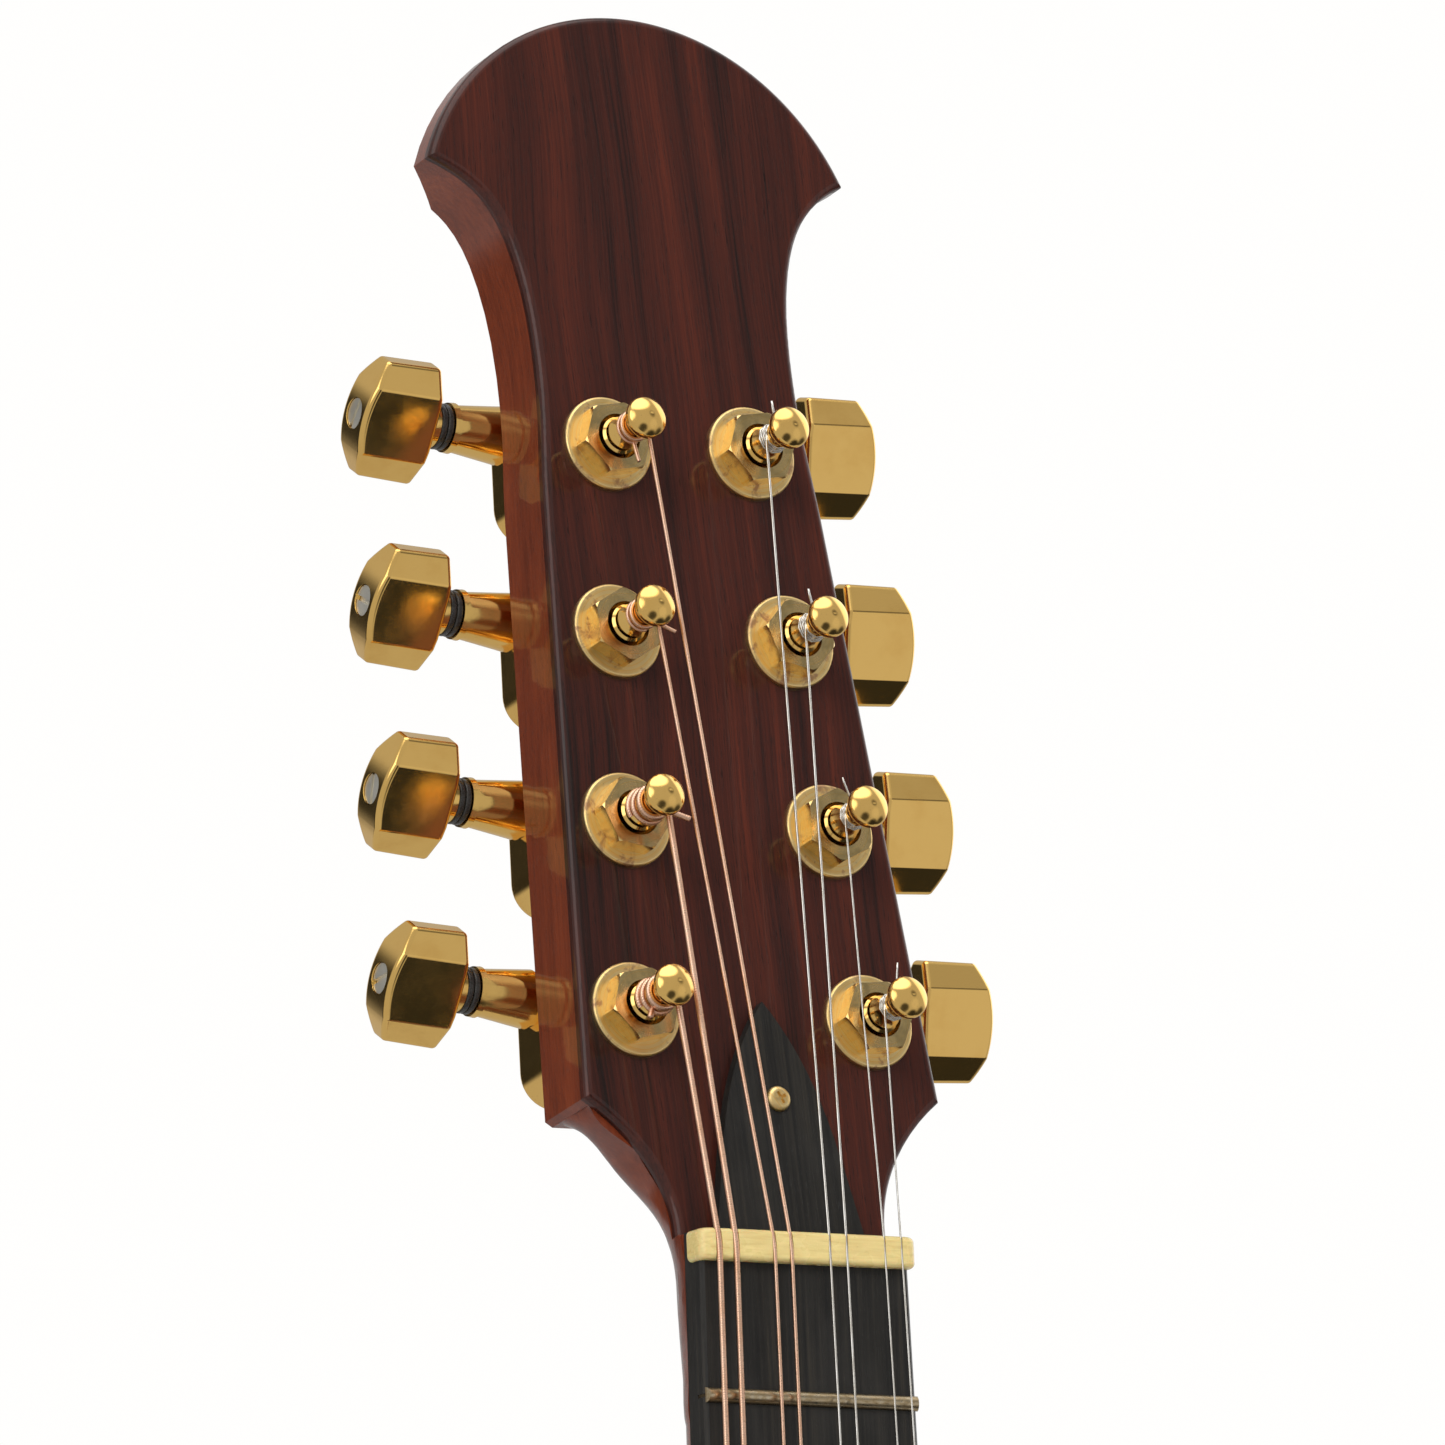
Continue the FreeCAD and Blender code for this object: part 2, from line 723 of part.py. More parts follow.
def make_neck():
    shaft = Part.makeLoft([shaft_section(BODY_TOP, SHAFT_FULLNESS),
                           shaft_section(NUT_Z - BLEND_LENGTH, SHAFT_FULLNESS)], True)
    half_ledge, ledge_depth = board_half_width(NUT_Z) - 0.4, 2.8
    ledge = box(-half_ledge, FRONT, NUT_Z - 4, half_ledge, FRONT + ledge_depth, NUT_BACK_Z)
    whole = shaft.fuse([neck_blend(), ledge, make_heel(), tenon_box(), head_core()])
    slot_face = Part.Face(Part.Wire([piece.toShape() for piece in access_slot()]))
    slot_cut = slot_face.extrude(Vector(0, 0, -8.5))
    slot_cut.Placement = HEAD_PLACEMENT
    half = dim("truss_channel_width") / 2
    channel = box(-half, FRONT, BODY_TOP + 12, half, FRONT + dim("truss_channel_depth"),
                  NUT_BACK_Z + 6)
    board_space = box(-40, FRONT - 20, BODY_TOP, 40, FRONT, NUT_BACK_Z)
    face_cut = Part.makeBox(120, 260, 30, Vector(-60, 0, 0))
    face_cut.Placement = HEAD_PLACEMENT.multiply(
        Placement(Vector(0, 0, -dim("veneer_thickness")), Rotation()))
    holes = []
    for sign, place in TUNERS:
        u, v = tuner_uv(sign, place)
        holes.append(rod(head_point(u, v, -30), head_point(u, v, 5), dim("head_hole_radius")))
    neck = whole.cut([slot_cut, channel, board_space, face_cut] + holes)
    keep(shape_object("neck", neck.removeSplitter()), "neck")


def make_truss_rod():
    """Steel rod lying near the bottom of its channel, clear of the headstock's face."""
    bar_radius, play = dim("truss_rod_radius") - 0.4, 0.1
    depth = FRONT + dim("truss_channel_depth") - bar_radius - play
    start = Vector(0, depth, BODY_TOP + 14)
    end = Vector(0, depth, NUT_BACK_Z + 5)
    bar = rod(start, end, bar_radius)
    nut = Part.makePolygon([Vector(2.3 * math.cos(math.radians(a)),
                                   2.3 * math.sin(math.radians(a)), 0)
                            for a in range(0, 361, 60)])
    hexagon = Part.Face(nut).extrude(Vector(0, 0, 5))
    hexagon.translate(Vector(0, depth, NUT_BACK_Z - 2))
    keep(shape_object("truss_rod", bar.fuse(hexagon)), "truss_rod")


# Cover screw: how far it is right of the cover's middle and above the nut, then its two radii.
COVER_SCREW_SHIFT, COVER_SCREW_V = 0.6, 22.0
COVER_HEAD, COVER_SHANK = 2.0, 0.88


def make_truss_cover():
    """Leaf-shaped cover with its point towards the crown, a little right of the middle."""
    body = new_body("cover_leaf", HEAD_PLACEMENT)
    length, half, shift = dim("cover_length"), dim("cover_half_width"), dim("cover_shift")
    base_v = 0.6

    def edge(sign):
        curve = Part.BSplineCurve()
        curve.interpolate([Vector(shift + sign * half * across, base_v + (length - base_v) * up, 0)
                           for across, up in ((1.0, 0), (0.80, 0.345), (0.575, 0.63),
                                              (0.335, 0.82), (0.0, 1.0))])
        return curve

    bottom = line(shift - half, base_v, shift + half, base_v)
    sketch = add_sketch(body, "XY_Plane", [edge(1), edge(-1), bottom])
    pad(body, sketch, "dims.cover_thickness")
    screw_u = shift + COVER_SCREW_SHIFT
    hole = add_sketch(body, "XY_Plane", [circle(screw_u, COVER_SCREW_V, COVER_SHANK + 0.02)],
                      lift_formula="dims.cover_thickness")
    pocket(body, hole, "dims.cover_thickness")
    sink = add_sketch(body, "XY_Plane", [circle(screw_u, COVER_SCREW_V, COVER_HEAD + 0.05)],
                      lift_formula="dims.cover_thickness")
    pocket(body, sink, "dims.cover_thickness / 3")
    keep(body, "truss_rod_cover")


# --------------------------------------------------------------------------------------
# Fretboard, frets, markers and nut
# --------------------------------------------------------------------------------------
MARKER_FRETS = (3, 5, 7, 10, 12, 15, 17)


def marker_places():
    places = []
    for number in MARKER_FRETS:
        z = NUT_Z - (fret_distance(number) + fret_distance(number - 1)) / 2
        offsets = (-7.5, 7.5) if number == 12 else (0.0,)
        places += [(x, z) for x in offsets]
    return places


def make_fretboard():
    body = new_body("board")
    top, end = board_half_width(NUT_BACK_Z), board_half_width(BOARD_END_Z)
    outline = polygon([(-end, BOARD_END_Z), (end, BOARD_END_Z), (top, NUT_BACK_Z),
                       (-top, NUT_BACK_Z)])
    sketch = add_sketch(body, "XZ_Plane", outline, lift_formula="dims.body_depth / 2")
    pad(body, sketch, "dims.board_thickness")

    def long_front_edge(edge):
        bounds = edge.BoundBox
        return bounds.YMax < BOARD_TOP + 1e-3 and bounds.ZLength > 50

    soften(body, "Chamfer", "dims.board_bevel", long_front_edge)
    lift = "dims.body_depth / 2 + dims.board_thickness"
    nut_seat = add_sketch(body, "XZ_Plane", rectangle(-30, NUT_Z, 30, NUT_BACK_Z + 2),
                          lift_formula=lift)
    pocket(body, nut_seat, "dims.board_thickness - dims.nut_seat")
    half_slot = dim("fret_tang_width") / 2
    slots = []
    for number in range(1, int(dim("fret_count")) + 1):
        z = NUT_Z - fret_distance(number)
        half = board_half_width(z) + 2
        slots += rectangle(-half, z - half_slot, half, z + half_slot)
    pocket(body, add_sketch(body, "XZ_Plane", slots, lift_formula=lift), "dims.fret_tang_depth")
    dots = add_sketch(body, "XZ_Plane",
                      [circle(x, z, dim("marker_radius")) for x, z in marker_places()],
                      lift_formula=lift)
    bind_circles(dots, ["dims.marker_radius"] * len(marker_places()))
    pocket(body, dots, "dims.marker_depth")
    keep(body, "fretboard")


def make_frets():
    crown_half, height = dim("fret_crown_width") / 2, dim("fret_crown_height")
    half_tang, depth = dim("fret_tang_width") / 2, dim("fret_tang_depth")
    solids = []
    for number in range(1, int(dim("fret_count")) + 1):
        z = NUT_Z - fret_distance(number)
        half = board_half_width(z)
        crown = Part.Arc(Vector(-half, BOARD_TOP, z - crown_half),
                         Vector(-half, BOARD_TOP - height, z),
                         Vector(-half, BOARD_TOP, z + crown_half)).toShape()
        foot = Part.LineSegment(Vector(-half, BOARD_TOP, z + crown_half),
                                Vector(-half, BOARD_TOP, z - crown_half)).toShape()
        bead = Part.Face(Part.Wire([crown, foot])).extrude(Vector(2 * half, 0, 0))
        slant = height * 0.55
        for sign in (-1, 1):
            corner = [Vector(sign * half, BOARD_TOP, z - 3),
                      Vector(sign * (half - slant), BOARD_TOP - 2 * height, z - 3),
                      Vector(sign * (half + 3), BOARD_TOP - 2 * height, z - 3),
                      Vector(sign * (half + 3), BOARD_TOP, z - 3),
                      Vector(sign * half, BOARD_TOP, z - 3)]
            bead = bead.cut(Part.Face(Part.makePolygon(corner)).extrude(Vector(0, 0, 6)))
        tang_half = half - dim("board_bevel") * 0.2
        tang = box(-tang_half, BOARD_TOP, z - half_tang, tang_half, BOARD_TOP + depth,
                   z + half_tang)
        solids.append(bead.fuse(tang))
    group("frets", solids)


def make_markers():
    depth = dim("marker_depth")
    dots = [Part.makeCylinder(dim("marker_radius"), depth, Vector(x, BOARD_TOP, z),
                              Vector(0, 1, 0)) for x, z in marker_places()]
    group("position_markers", dots)


# --------------------------------------------------------------------------------------
# Strings: eight, in four pairs; the bass pairs are wound
# --------------------------------------------------------------------------------------
STRING_DIAMETERS = (1.04, 1.04, 0.66, 0.66, 0.40, 0.40, 0.30, 0.30)
STRING_TUNERS = ((-1, 0), (-1, 1), (-1, 2), (-1, 3), (1, 3), (1, 2), (1, 1), (1, 0))
TAIL_HOOK_Z = 30.0
TAIL_HOOK_Y = FRONT - 6.2


def string_x(index, pitch, gap):
    pair, member = divmod(index, 2)
    return (pair - 1.5) * pitch + (member - 0.5) * gap


def string_points(index):
    """The straight run of a string: post, nut, bridge saddle, tailpiece hook."""
    radius = STRING_DIAMETERS[index] / 2
    sign, place = STRING_TUNERS[index]
    u, v = tuner_uv(sign, place)
    reach = dim("post_waist_radius") + radius + 0.2
    at_post = head_point(u - sign * reach, v, dim("string_post_height"))
    nut_x = string_x(index, dim("pair_pitch"), dim("pair_gap"))
    at_nut = Vector(nut_x, BOARD_TOP - dim("string_height_at_nut"),
                    NUT_Z + dim("nut_thickness") / 2)
    bridge_x = string_x(index, dim("bridge_pair_pitch"), dim("bridge_pair_gap"))
    at_bridge = Vector(bridge_x, BOARD_TOP - dim("string_height_at_bridge"), BRIDGE_Z)
    at_tail = Vector(bridge_x * 0.86, TAIL_HOOK_Y, TAIL_HOOK_Z)
    return at_post, at_nut, at_bridge, at_tail


def mitred_wire(points, radius):
    """A round wire along straight runs, mitred where it bends."""
    run = points[1] - points[0]
    profile = Part.Wire([Part.Circle(points[0], run, radius).toShape()])
    pipe = Part.BRepOffsetAPI.MakePipeShell(Part.makePolygon(points))
    pipe.setTransitionMode(1)
    pipe.add(profile)
    pipe.build()
    pipe.makeSolid()
    return pipe.shape()


def make_strings():
    group("strings", [mitred_wire(list(string_points(index)), diameter / 2)
                      for index, diameter in enumerate(STRING_DIAMETERS)])


def string_channels(margin, which):
    """Room for the strings where they cross a piece, open towards the front."""
    cuts = []
    for index, diameter in enumerate(STRING_DIAMETERS):
        radius = diameter / 2 + margin
        points = string_points(index)
        bend = points[which]
        ends = [bend + (points[which + step] - bend).normalize() * 12 for step in (-1, 1)]
        cuts.append(mitred_wire([ends[0], bend, ends[1]], radius))
        side = Vector(radius * 0.9, 0, 0)
        for end in ends:
            strip = Part.makePolygon([bend - side, bend + side, end + side, end - side,
                                      bend - side])
            cuts.append(Part.Face(strip).extrude(Vector(0, -8, 0)))
    return cuts


def make_nut():
    body = new_body("nut_blank")
    half = dim("nut_length") / 2
    sketch = add_sketch(body, "XZ_Plane", rectangle(-half, NUT_Z, half, NUT_BACK_Z),
                        lift_formula="dims.body_depth / 2 + dims.nut_seat")
    pad(body, sketch, "dims.nut_height")
    doc.recompute()
    crown = FRONT - dim("nut_seat") - dim("nut_height")
    soften(body, "Fillet", "dims.nut_end_radius",
           lambda edge: edge.BoundBox.YMax < crown + 1e-3 and edge.BoundBox.XLength < 1)
    soften(body, "Fillet", "dims.nut_edge_radius",
           lambda edge: edge.BoundBox.YMin < crown + 0.1 and edge.BoundBox.XLength > 1)
    cuts = string_channels(0.03, 1)
    channels = shape_object("nut_channels", cuts[0].fuse(cuts[1:]))
    keep(boolean("Cut", "nut_cut", body, channels), "nut")


# --------------------------------------------------------------------------------------
# Bridge, saddle, tailpiece and end pin
# --------------------------------------------------------------------------------------
BRIDGE_HALF = 46.0
BRIDGE_DEPTH = 13.0
SADDLE_HALF = 30.0
SADDLE_Y = BOARD_TOP - dim("string_height_at_bridge")


def make_bridge():
    body = new_body("bridge_block")
    top = FRONT - 7.5
    points = [(-BRIDGE_HALF, FRONT), (BRIDGE_HALF, FRONT), (BRIDGE_HALF, FRONT - 2.5),
              (SADDLE_HALF + 3, top), (-SADDLE_HALF - 3, top), (-BRIDGE_HALF, FRONT - 2.5)]
    sketch = add_sketch(body, "XY_Plane", polygon(points), lift=BRIDGE_Z - BRIDGE_DEPTH / 2)
    feature = body.newObject("PartDesign::Pad", "bridge_pad")
    feature.Profile = sketch
    feature.Length = BRIDGE_DEPTH
    doc.recompute()
    slot = add_sketch(body, "XZ_Plane",
                      rectangle(-SADDLE_HALF, BRIDGE_Z - 1.4, SADDLE_HALF, BRIDGE_Z + 1.4),
                      lift=-top)
    feature = body.newObject("PartDesign::Pocket", "bridge_slot")
    feature.Profile = slot
    feature.Length = 4.0
    doc.recompute()
    keep(body, "bridge")


def make_saddle():
    low = FRONT - 7.5 + 4.0
    blank = box(-SADDLE_HALF, SADDLE_Y - 0.25, BRIDGE_Z - 1.4, SADDLE_HALF, low, BRIDGE_Z + 1.4)
    edges = [edge for edge in blank.Edges
             if edge.BoundBox.XLength > 20 and edge.BoundBox.YMax < SADDLE_Y]
    blank = blank.makeFillet(0.9, edges)
    keep(shape_object("saddle", blank.cut(string_channels(0.03, 2))), "saddle")


def make_tailpiece():
    """Bent plate over the tail: hooks for the loop ends in front, a leg held by the end pin."""
    plate = 1.6
    top = box(-30, FRONT - 4.0, 6, 30, FRONT - 4.0 + plate, 38)
    top = top.makeFillet(6, [e for e in top.Edges
                             if e.BoundBox.YLength > 1 and e.BoundBox.ZMin > 30
                             and e.BoundBox.ZLength < 1 and e.BoundBox.XLength < 1])
    shell = Part.makeCylinder(LOWER_R + plate, 58, Vector(0, FRONT - 4.0, LOWER_R),
                              Vector(0, 1, 0))
    shell = shell.cut(Part.makeCylinder(LOWER_R + 0.02, 60, Vector(0, FRONT - 5, LOWER_R),
                                        Vector(0, 1, 0)))
    leg = shell.common(box(-17, FRONT - 4.0, -5, 17, 14, 4))
    bend = box(-17, FRONT - 4.0, -1.0, 17, FRONT - 4.0 + plate, 8)
    hooks = []
    for index in range(len(STRING_DIAMETERS)):
        x = string_points(index)[3].x
        hooks.append(rod(Vector(x, FRONT - 3, TAIL_HOOK_Z - 3), Vector(x, FRONT - 8, TAIL_HOOK_Z - 3),
                         1.1))
    pin_hole = rod(Vector(0, 0, -6), Vector(0, 0, 6), 4.0)
    shape = top.fuse([leg, bend] + hooks).cut([pin_hole] + tail_screw_holes())
    shape = shape.removeSplitter()
    keep(shape_object("tailpiece", shape), "tailpiece")


def make_end_pin():
    """Turned button with a tapered plug that goes through the leg into the tail block."""
    body = new_body("end_pin_turning")
    seat = 1.65
    profile = polygon([(0, 24), (3.4, 24), (3.95, 1), (3.95, -seat), (7.2, -seat), (7.2, -seat - 1.6),
                       (5.0, -seat - 4.0), (4.7, -seat - 6.5), (7.0, -seat - 9.4),
                       (6.2, -seat - 11.6), (0, -seat - 12.2)])
    revolve(body, add_sketch(body, "XZ_Plane", profile))
    keep(body, "end_pin")


# --------------------------------------------------------------------------------------
# Tuners, each in its own frame: X out to the button, Y across, Z out of the headstock's face
# --------------------------------------------------------------------------------------
MODULE = dim("gear_module")
TEETH = int(dim("wheel_teeth"))
WHEEL_R = MODULE * TEETH / 2
WORM_R = dim("worm_pitch_radius")
GEAR_CENTRES = WHEEL_R + WORM_R
PITCH = math.pi * MODULE
WORM_W = -dim("worm_depth")


def gear_side(side_sign):
    """Every worm is on the crown side of its post, so the two sides mirror each other."""
    return side_sign * GEAR_CENTRES


def make_washers():
    solids = []
    for sign, place in TUNERS:
        ring = Part.makeCylinder(dim("washer_radius"), dim("washer_thickness"))
        rim = [e for e in ring.Edges if e.BoundBox.ZMin > 0.5]
        ring = ring.makeFillet(dim("washer_thickness") * 0.45, rim)
        ring = ring.cut(Part.makeCylinder(dim("sleeve_radius") + 0.02, 3, Vector(0, 0, -1)))
        ring.Placement = tuner_placement(sign, place)
        solids.append(ring)
    group("tuner_washers", solids)


def make_bushings():
    """Hexagonal bushings that screw down from the front onto the housings' collars."""
    solids = []
    low = dim("washer_thickness")
    across_corners = dim("hex_flats") / math.cos(math.radians(30)) / 2
    for sign, place in TUNERS:
        turn = 21 * place * sign + (4 if sign > 0 else 17)
        corners = [Vector(across_corners * math.cos(math.radians(60 * i + turn)),
                          across_corners * math.sin(math.radians(60 * i + turn)), low)
                   for i in range(7)]
        head = Part.Face(Part.makePolygon(corners)).extrude(Vector(0, 0, dim("hex_height")))
        cone = Part.makeCone(across_corners + dim("hex_height") - 0.3, across_corners - 0.45,
                             dim("hex_height") + 0.15, Vector(0, 0, low))
        head = head.common(cone)
        sleeve = Part.makeCylinder(dim("sleeve_radius"), dim("sleeve_length"),
                                   Vector(0, 0, low - dim("sleeve_length")))
        shape = head.fuse(sleeve)
        collar_room = Part.makeCylinder(4.05, dim("sleeve_length") + 1,
                                        Vector(0, 0, -dim("sleeve_length")))
        mouth = Part.makeCylinder(dim("post_radius") + 0.6, 12, Vector(0, 0, -4))
        shape = shape.cut([collar_room, mouth])
        shape.Placement = tuner_placement(sign, place)
        solids.append(shape)
    group("tuner_bushings", solids)


HOUSING_FRONT = -HEAD_THICKNESS
HOUSING_INNER = -8.8
HOUSING_OUTER = 6.4
COVER_THICKNESS = 1.2
HOUSING_BACK = WORM_W - 4.2 - COVER_THICKNESS


def housing_block(side_sign, w_low, w_high):
    """Rounded block round the post and the worm."""
    worm_y = gear_side(side_sign)
    near, far = -side_sign * 8.2, worm_y + side_sign * 5.4
    y0, y1 = min(near, far), max(near, far)
    block = Part.makeBox(HOUSING_OUTER - HOUSING_INNER, y1 - y0, w_high - w_low,
                         Vector(HOUSING_INNER, y0, w_low))
    upright = [e for e in block.Edges if e.BoundBox.ZLength > 0.5]
    return block.makeFillet(5.2, upright)


def make_housings():
    """Die-cast gear housings behind the headstock, each with a collar and a flared nozzle."""
    housings = []
    covers = []
    clearance = dim("running_clearance")
    for sign, place in TUNERS:
        worm_y = gear_side(sign)
        block = housing_block(sign, HOUSING_BACK + COVER_THICKNESS, HOUSING_FRONT)
        collar = Part.makeCylinder(4.0, 9.5, Vector(0, 0, HOUSING_FRONT))
        end = dim("nozzle_end")
        profile = [Vector(3.0, 0, 0), Vector(3.0, 0, 4.1), Vector(HOUSING_OUTER, 0, 4.1),
                   Vector(HOUSING_OUTER + 1.2, 0, 4.6), Vector(end - 1.0, 0, 3.6),
                   Vector(end - 1.0, 0, 3.95), Vector(end, 0, 3.85), Vector(end, 0, 0)]
        wire = Part.makePolygon(profile + profile[:1])
        nozzle = Part.Face(wire).revolve(Vector(), Vector(1, 0, 0), 360)
        nozzle.translate(Vector(0, worm_y, WORM_W))
        wheel_room = Part.makeCylinder(WHEEL_R + 1.0, 20,
                                       Vector(0, 0, WORM_W + dim("wheel_thickness") / 2 + 0.25 - 20))
        worm_room = box(-4.6, worm_y - 3.6, HOUSING_BACK, 4.6, worm_y + 3.6, WORM_W)
        worm_bore = rod(Vector(-4.6, worm_y, WORM_W), Vector(4.6, worm_y, WORM_W), 3.6)
        shaft_bore = rod(Vector(0, worm_y, WORM_W), Vector(end + 1, worm_y, WORM_W),
                         dim("shaft_radius") + clearance)
        tail_bore = rod(Vector(SHAFT_TAIL - 0.2, worm_y, WORM_W), Vector(0, worm_y, WORM_W),
                        SHAFT_TAIL_RADIUS + clearance)
        post_bore = Part.makeCylinder(dim("post_radius") + clearance, 40, Vector(0, 0, -25))
        housing = block.fuse([collar, nozzle])
        housing = housing.cut([wheel_room, worm_room, worm_bore, shaft_bore, tail_bore,
                               post_bore])
        housing.Placement = tuner_placement(sign, place)
        housings.append(housing)
        plate = housing_block(sign, HOUSING_BACK, HOUSING_BACK + COVER_THICKNESS)
        rim = [e for e in plate.Edges if e.BoundBox.ZMax < HOUSING_BACK + 0.1]
        plate = plate.makeFillet(0.7, rim)
        plate.Placement = tuner_placement(sign, place)
        covers.append(plate)
    group("tuner_housings", housings)
    group("tuner_housing_covers", covers)


def make_post(number, sign, place):
    """String post: journal, tapered neck, waist for the string, domed cap, drilled across."""
    body = new_body("post_%d_turning" % number, tuner_placement(sign, place))
    r, waist, cap = dim("post_radius"), dim("post_waist_radius"), dim("post_cap_radius")
    top = dim("post_height")
    rim = top - 1.5
    dome_r = (cap ** 2 + (top - rim) ** 2) / (2 * (top - rim))
    half_angle = math.asin(cap / dome_r) / 2
    shoulder = WORM_W + dim("wheel_thickness") / 2 + 0.1
    low = WORM_W - dim("wheel_thickness") / 2 - 0.3
    geometry = [
        line(0, low, 2.0, low),
        line(2.0, low, 2.0, shoulder),
        line(2.0, shoulder, r, shoulder),
        line(r, shoulder, r, 4.3),
        line(r, 4.3, r - 0.35, 4.7),
        line(r - 0.35, 4.7, r - 0.35, 5.5),
        arc((r - 0.35, 5.5), (2.15, 6.7), (waist, 8.0)),
        line(waist, 8.0, waist, 9.5),
        arc((waist, 9.5), (waist + 0.18, 9.95), (waist + 0.5, 10.2)),
        line(waist + 0.5, 10.2, waist + 0.5, 10.6),
        line(waist + 0.5, 10.6, waist + 0.15, 10.8),
        line(waist + 0.15, 10.8, waist + 0.15, 11.1),
        arc((waist + 0.15, 11.1), (cap - 0.3, 11.4), (cap, 12.1)),
        line(cap, 12.1, cap, rim),
        arc((cap, rim), (dome_r * math.sin(half_angle), top - dome_r * (1 - math.cos(half_angle))),
            (0, top)),
        line(0, top, 0, low),
    ]
    revolve(body, add_sketch(body, "XZ_Plane", geometry))
    soften(body, "Fillet", "dims.post_cap_radius * 0.3",
           lambda edge: abs(edge.BoundBox.ZMin - rim) < 1e-3 and edge.BoundBox.ZLength < 1e-3)
    across = add_sketch(body, "XZ_Plane", [circle(0, dim("string_post_height"), 0.65)], lift=-5)
    feature = body.newObject("PartDesign::Pocket", "post_%d_hole" % number)
    feature.Profile = across
    feature.Length = 10
    feature.Reversed = True
    before = body.Shape.Volume
    doc.recompute()
    if body.Shape.Volume > before - 0.5:
        raise RuntimeError("string hole cuts nothing")
    keep(body, "tuner_%d_post" % number)


def make_wheel(number, sign, place):
    """Worm wheel on the post's lower end, one tooth pointing at the worm."""
    thick = dim("wheel_thickness")
    root, tip = WHEEL_R - 1.2 * MODULE, WHEEL_R + 0.8 * MODULE
    body = new_body("wheel_%d_disc" % number, tuner_placement(sign, place))
    sketch = add_sketch(body, "XY_Plane", [circle(0, 0, root), circle(0, 0, 2.0)],
                        lift=WORM_W - thick / 2)
    pad(body, sketch, "dims.wheel_thickness")
    facing = sign * math.pi / 2
    half_root, half_tip = 0.50, 0.19
    direction = Vector(math.cos(facing), math.sin(facing), 0)
    across = Vector(-direction.y, direction.x, 0)
    corners = [direction * (root - 0.3) + across * half_root,
               direction * tip + across * half_tip,
               direction * tip - across * half_tip,
               direction * (root - 0.3) - across * half_root]
    tooth = add_sketch(body, "XY_Plane", polygon([(c.x, c.y) for c in corners]),
                       lift=WORM_W - thick / 2)
    tooth_pad = pad(body, tooth, "dims.wheel_thickness")
    ring = body.newObject("PartDesign::PolarPattern", "wheel_%d_teeth" % number)
    ring.Originals = [tooth_pad]
    ring.Axis = (tooth, ["N_Axis"])
    ring.Angle = 360
    ring.setExpression("Occurrences", "dims.wheel_teeth")
    body.Tip = ring
    doc.recompute()
    keep(body, "tuner_%d_wheel" % number)


def turned_solid(profile):
    """Solid of revolution about local Z from (radius, height) corners."""
    wire = Part.makePolygon([Vector(r, 0, z) for r, z in profile + profile[:1]])
    return Part.Face(wire).revolve(Vector(), Vector(0, 0, 1), 360)


WORM_ROOT = WORM_R - 1.1 * MODULE
WORM_TIP = WORM_R + 0.75 * MODULE
WORM_HALF_LENGTH = 4.4
SHAFT_TAIL = -7.2
SHAFT_TAIL_RADIUS = 1.6


def thread_solid():
    """The worm's single thread about local Z, half a pitch away from the wheel's tooth."""
    turns = dim("worm_turns")
    start_z = -PITCH * turns / 2
    helix = Part.makeLongHelix(PITCH, PITCH * turns, WORM_R)
    helix.translate(Vector(0, 0, start_z))
    half_root, half_tip = 0.55, 0.20
    inner = WORM_ROOT - 0.25
    profile = Part.makePolygon([Vector(inner, 0, start_z - half_root),
                                Vector(WORM_TIP, 0, start_z - half_tip),
                                Vector(WORM_TIP, 0, start_z + half_tip),
                                Vector(inner, 0, start_z + half_root),
                                Vector(inner, 0, start_z - half_root)])
    pipe = Part.BRepOffsetAPI.MakePipeShell(Part.Wire(helix.Edges))
    pipe.setBiNormalMode(Vector(0, 0, 1))
    pipe.add(profile)
    pipe.build()
    pipe.makeSolid()
    return pipe.shape()


def make_worm(number, sign, place):
    """Shaft with the worm cut on it, and the two washers between nozzle and button."""
    radius = dim("shaft_radius")
    button_tip = dim("button_end") - 3.0
    core = turned_solid([(0, SHAFT_TAIL), (SHAFT_TAIL_RADIUS, SHAFT_TAIL),
                         (SHAFT_TAIL_RADIUS, -WORM_HALF_LENGTH), (WORM_ROOT, -WORM_HALF_LENGTH),
                         (WORM_ROOT, WORM_HALF_LENGTH), (radius, WORM_HALF_LENGTH),
                         (radius, button_tip), (0, button_tip)])
    shape = core.fuse(thread_solid())
    shape = shape.cut(Part.makeCylinder(0.8, 8, Vector(0, 0, button_tip - 6)))
    toward_wheel = Vector(0, -sign, 0)
    turned = frame_placement(Vector(0, gear_side(sign), WORM_W), toward_wheel, Vector(1, 0, 0))
    shape.Placement = turned
    rings = []
    for start in (dim("nozzle_end") + 0.1, dim("nozzle_end") + 1.2):
        ring = Part.makeCylinder(3.6, 1.0, Vector(0, 0, start))
        ring = ring.makeFillet(0.3, [e for e in ring.Edges if e.BoundBox.XLength > 1])
        ring = ring.cut(Part.makeCylinder(radius + 0.01, 3, Vector(0, 0, start - 1)))
        ring.Placement = turned
        rings.append(ring)
    whole = shape_object("worm_%d" % number, Part.makeCompound([shape] + rings),
                         tuner_placement(sign, place))
    keep(whole, "tuner_%d_worm" % number)


BUTTON_EDGE_ROUND = 0.9


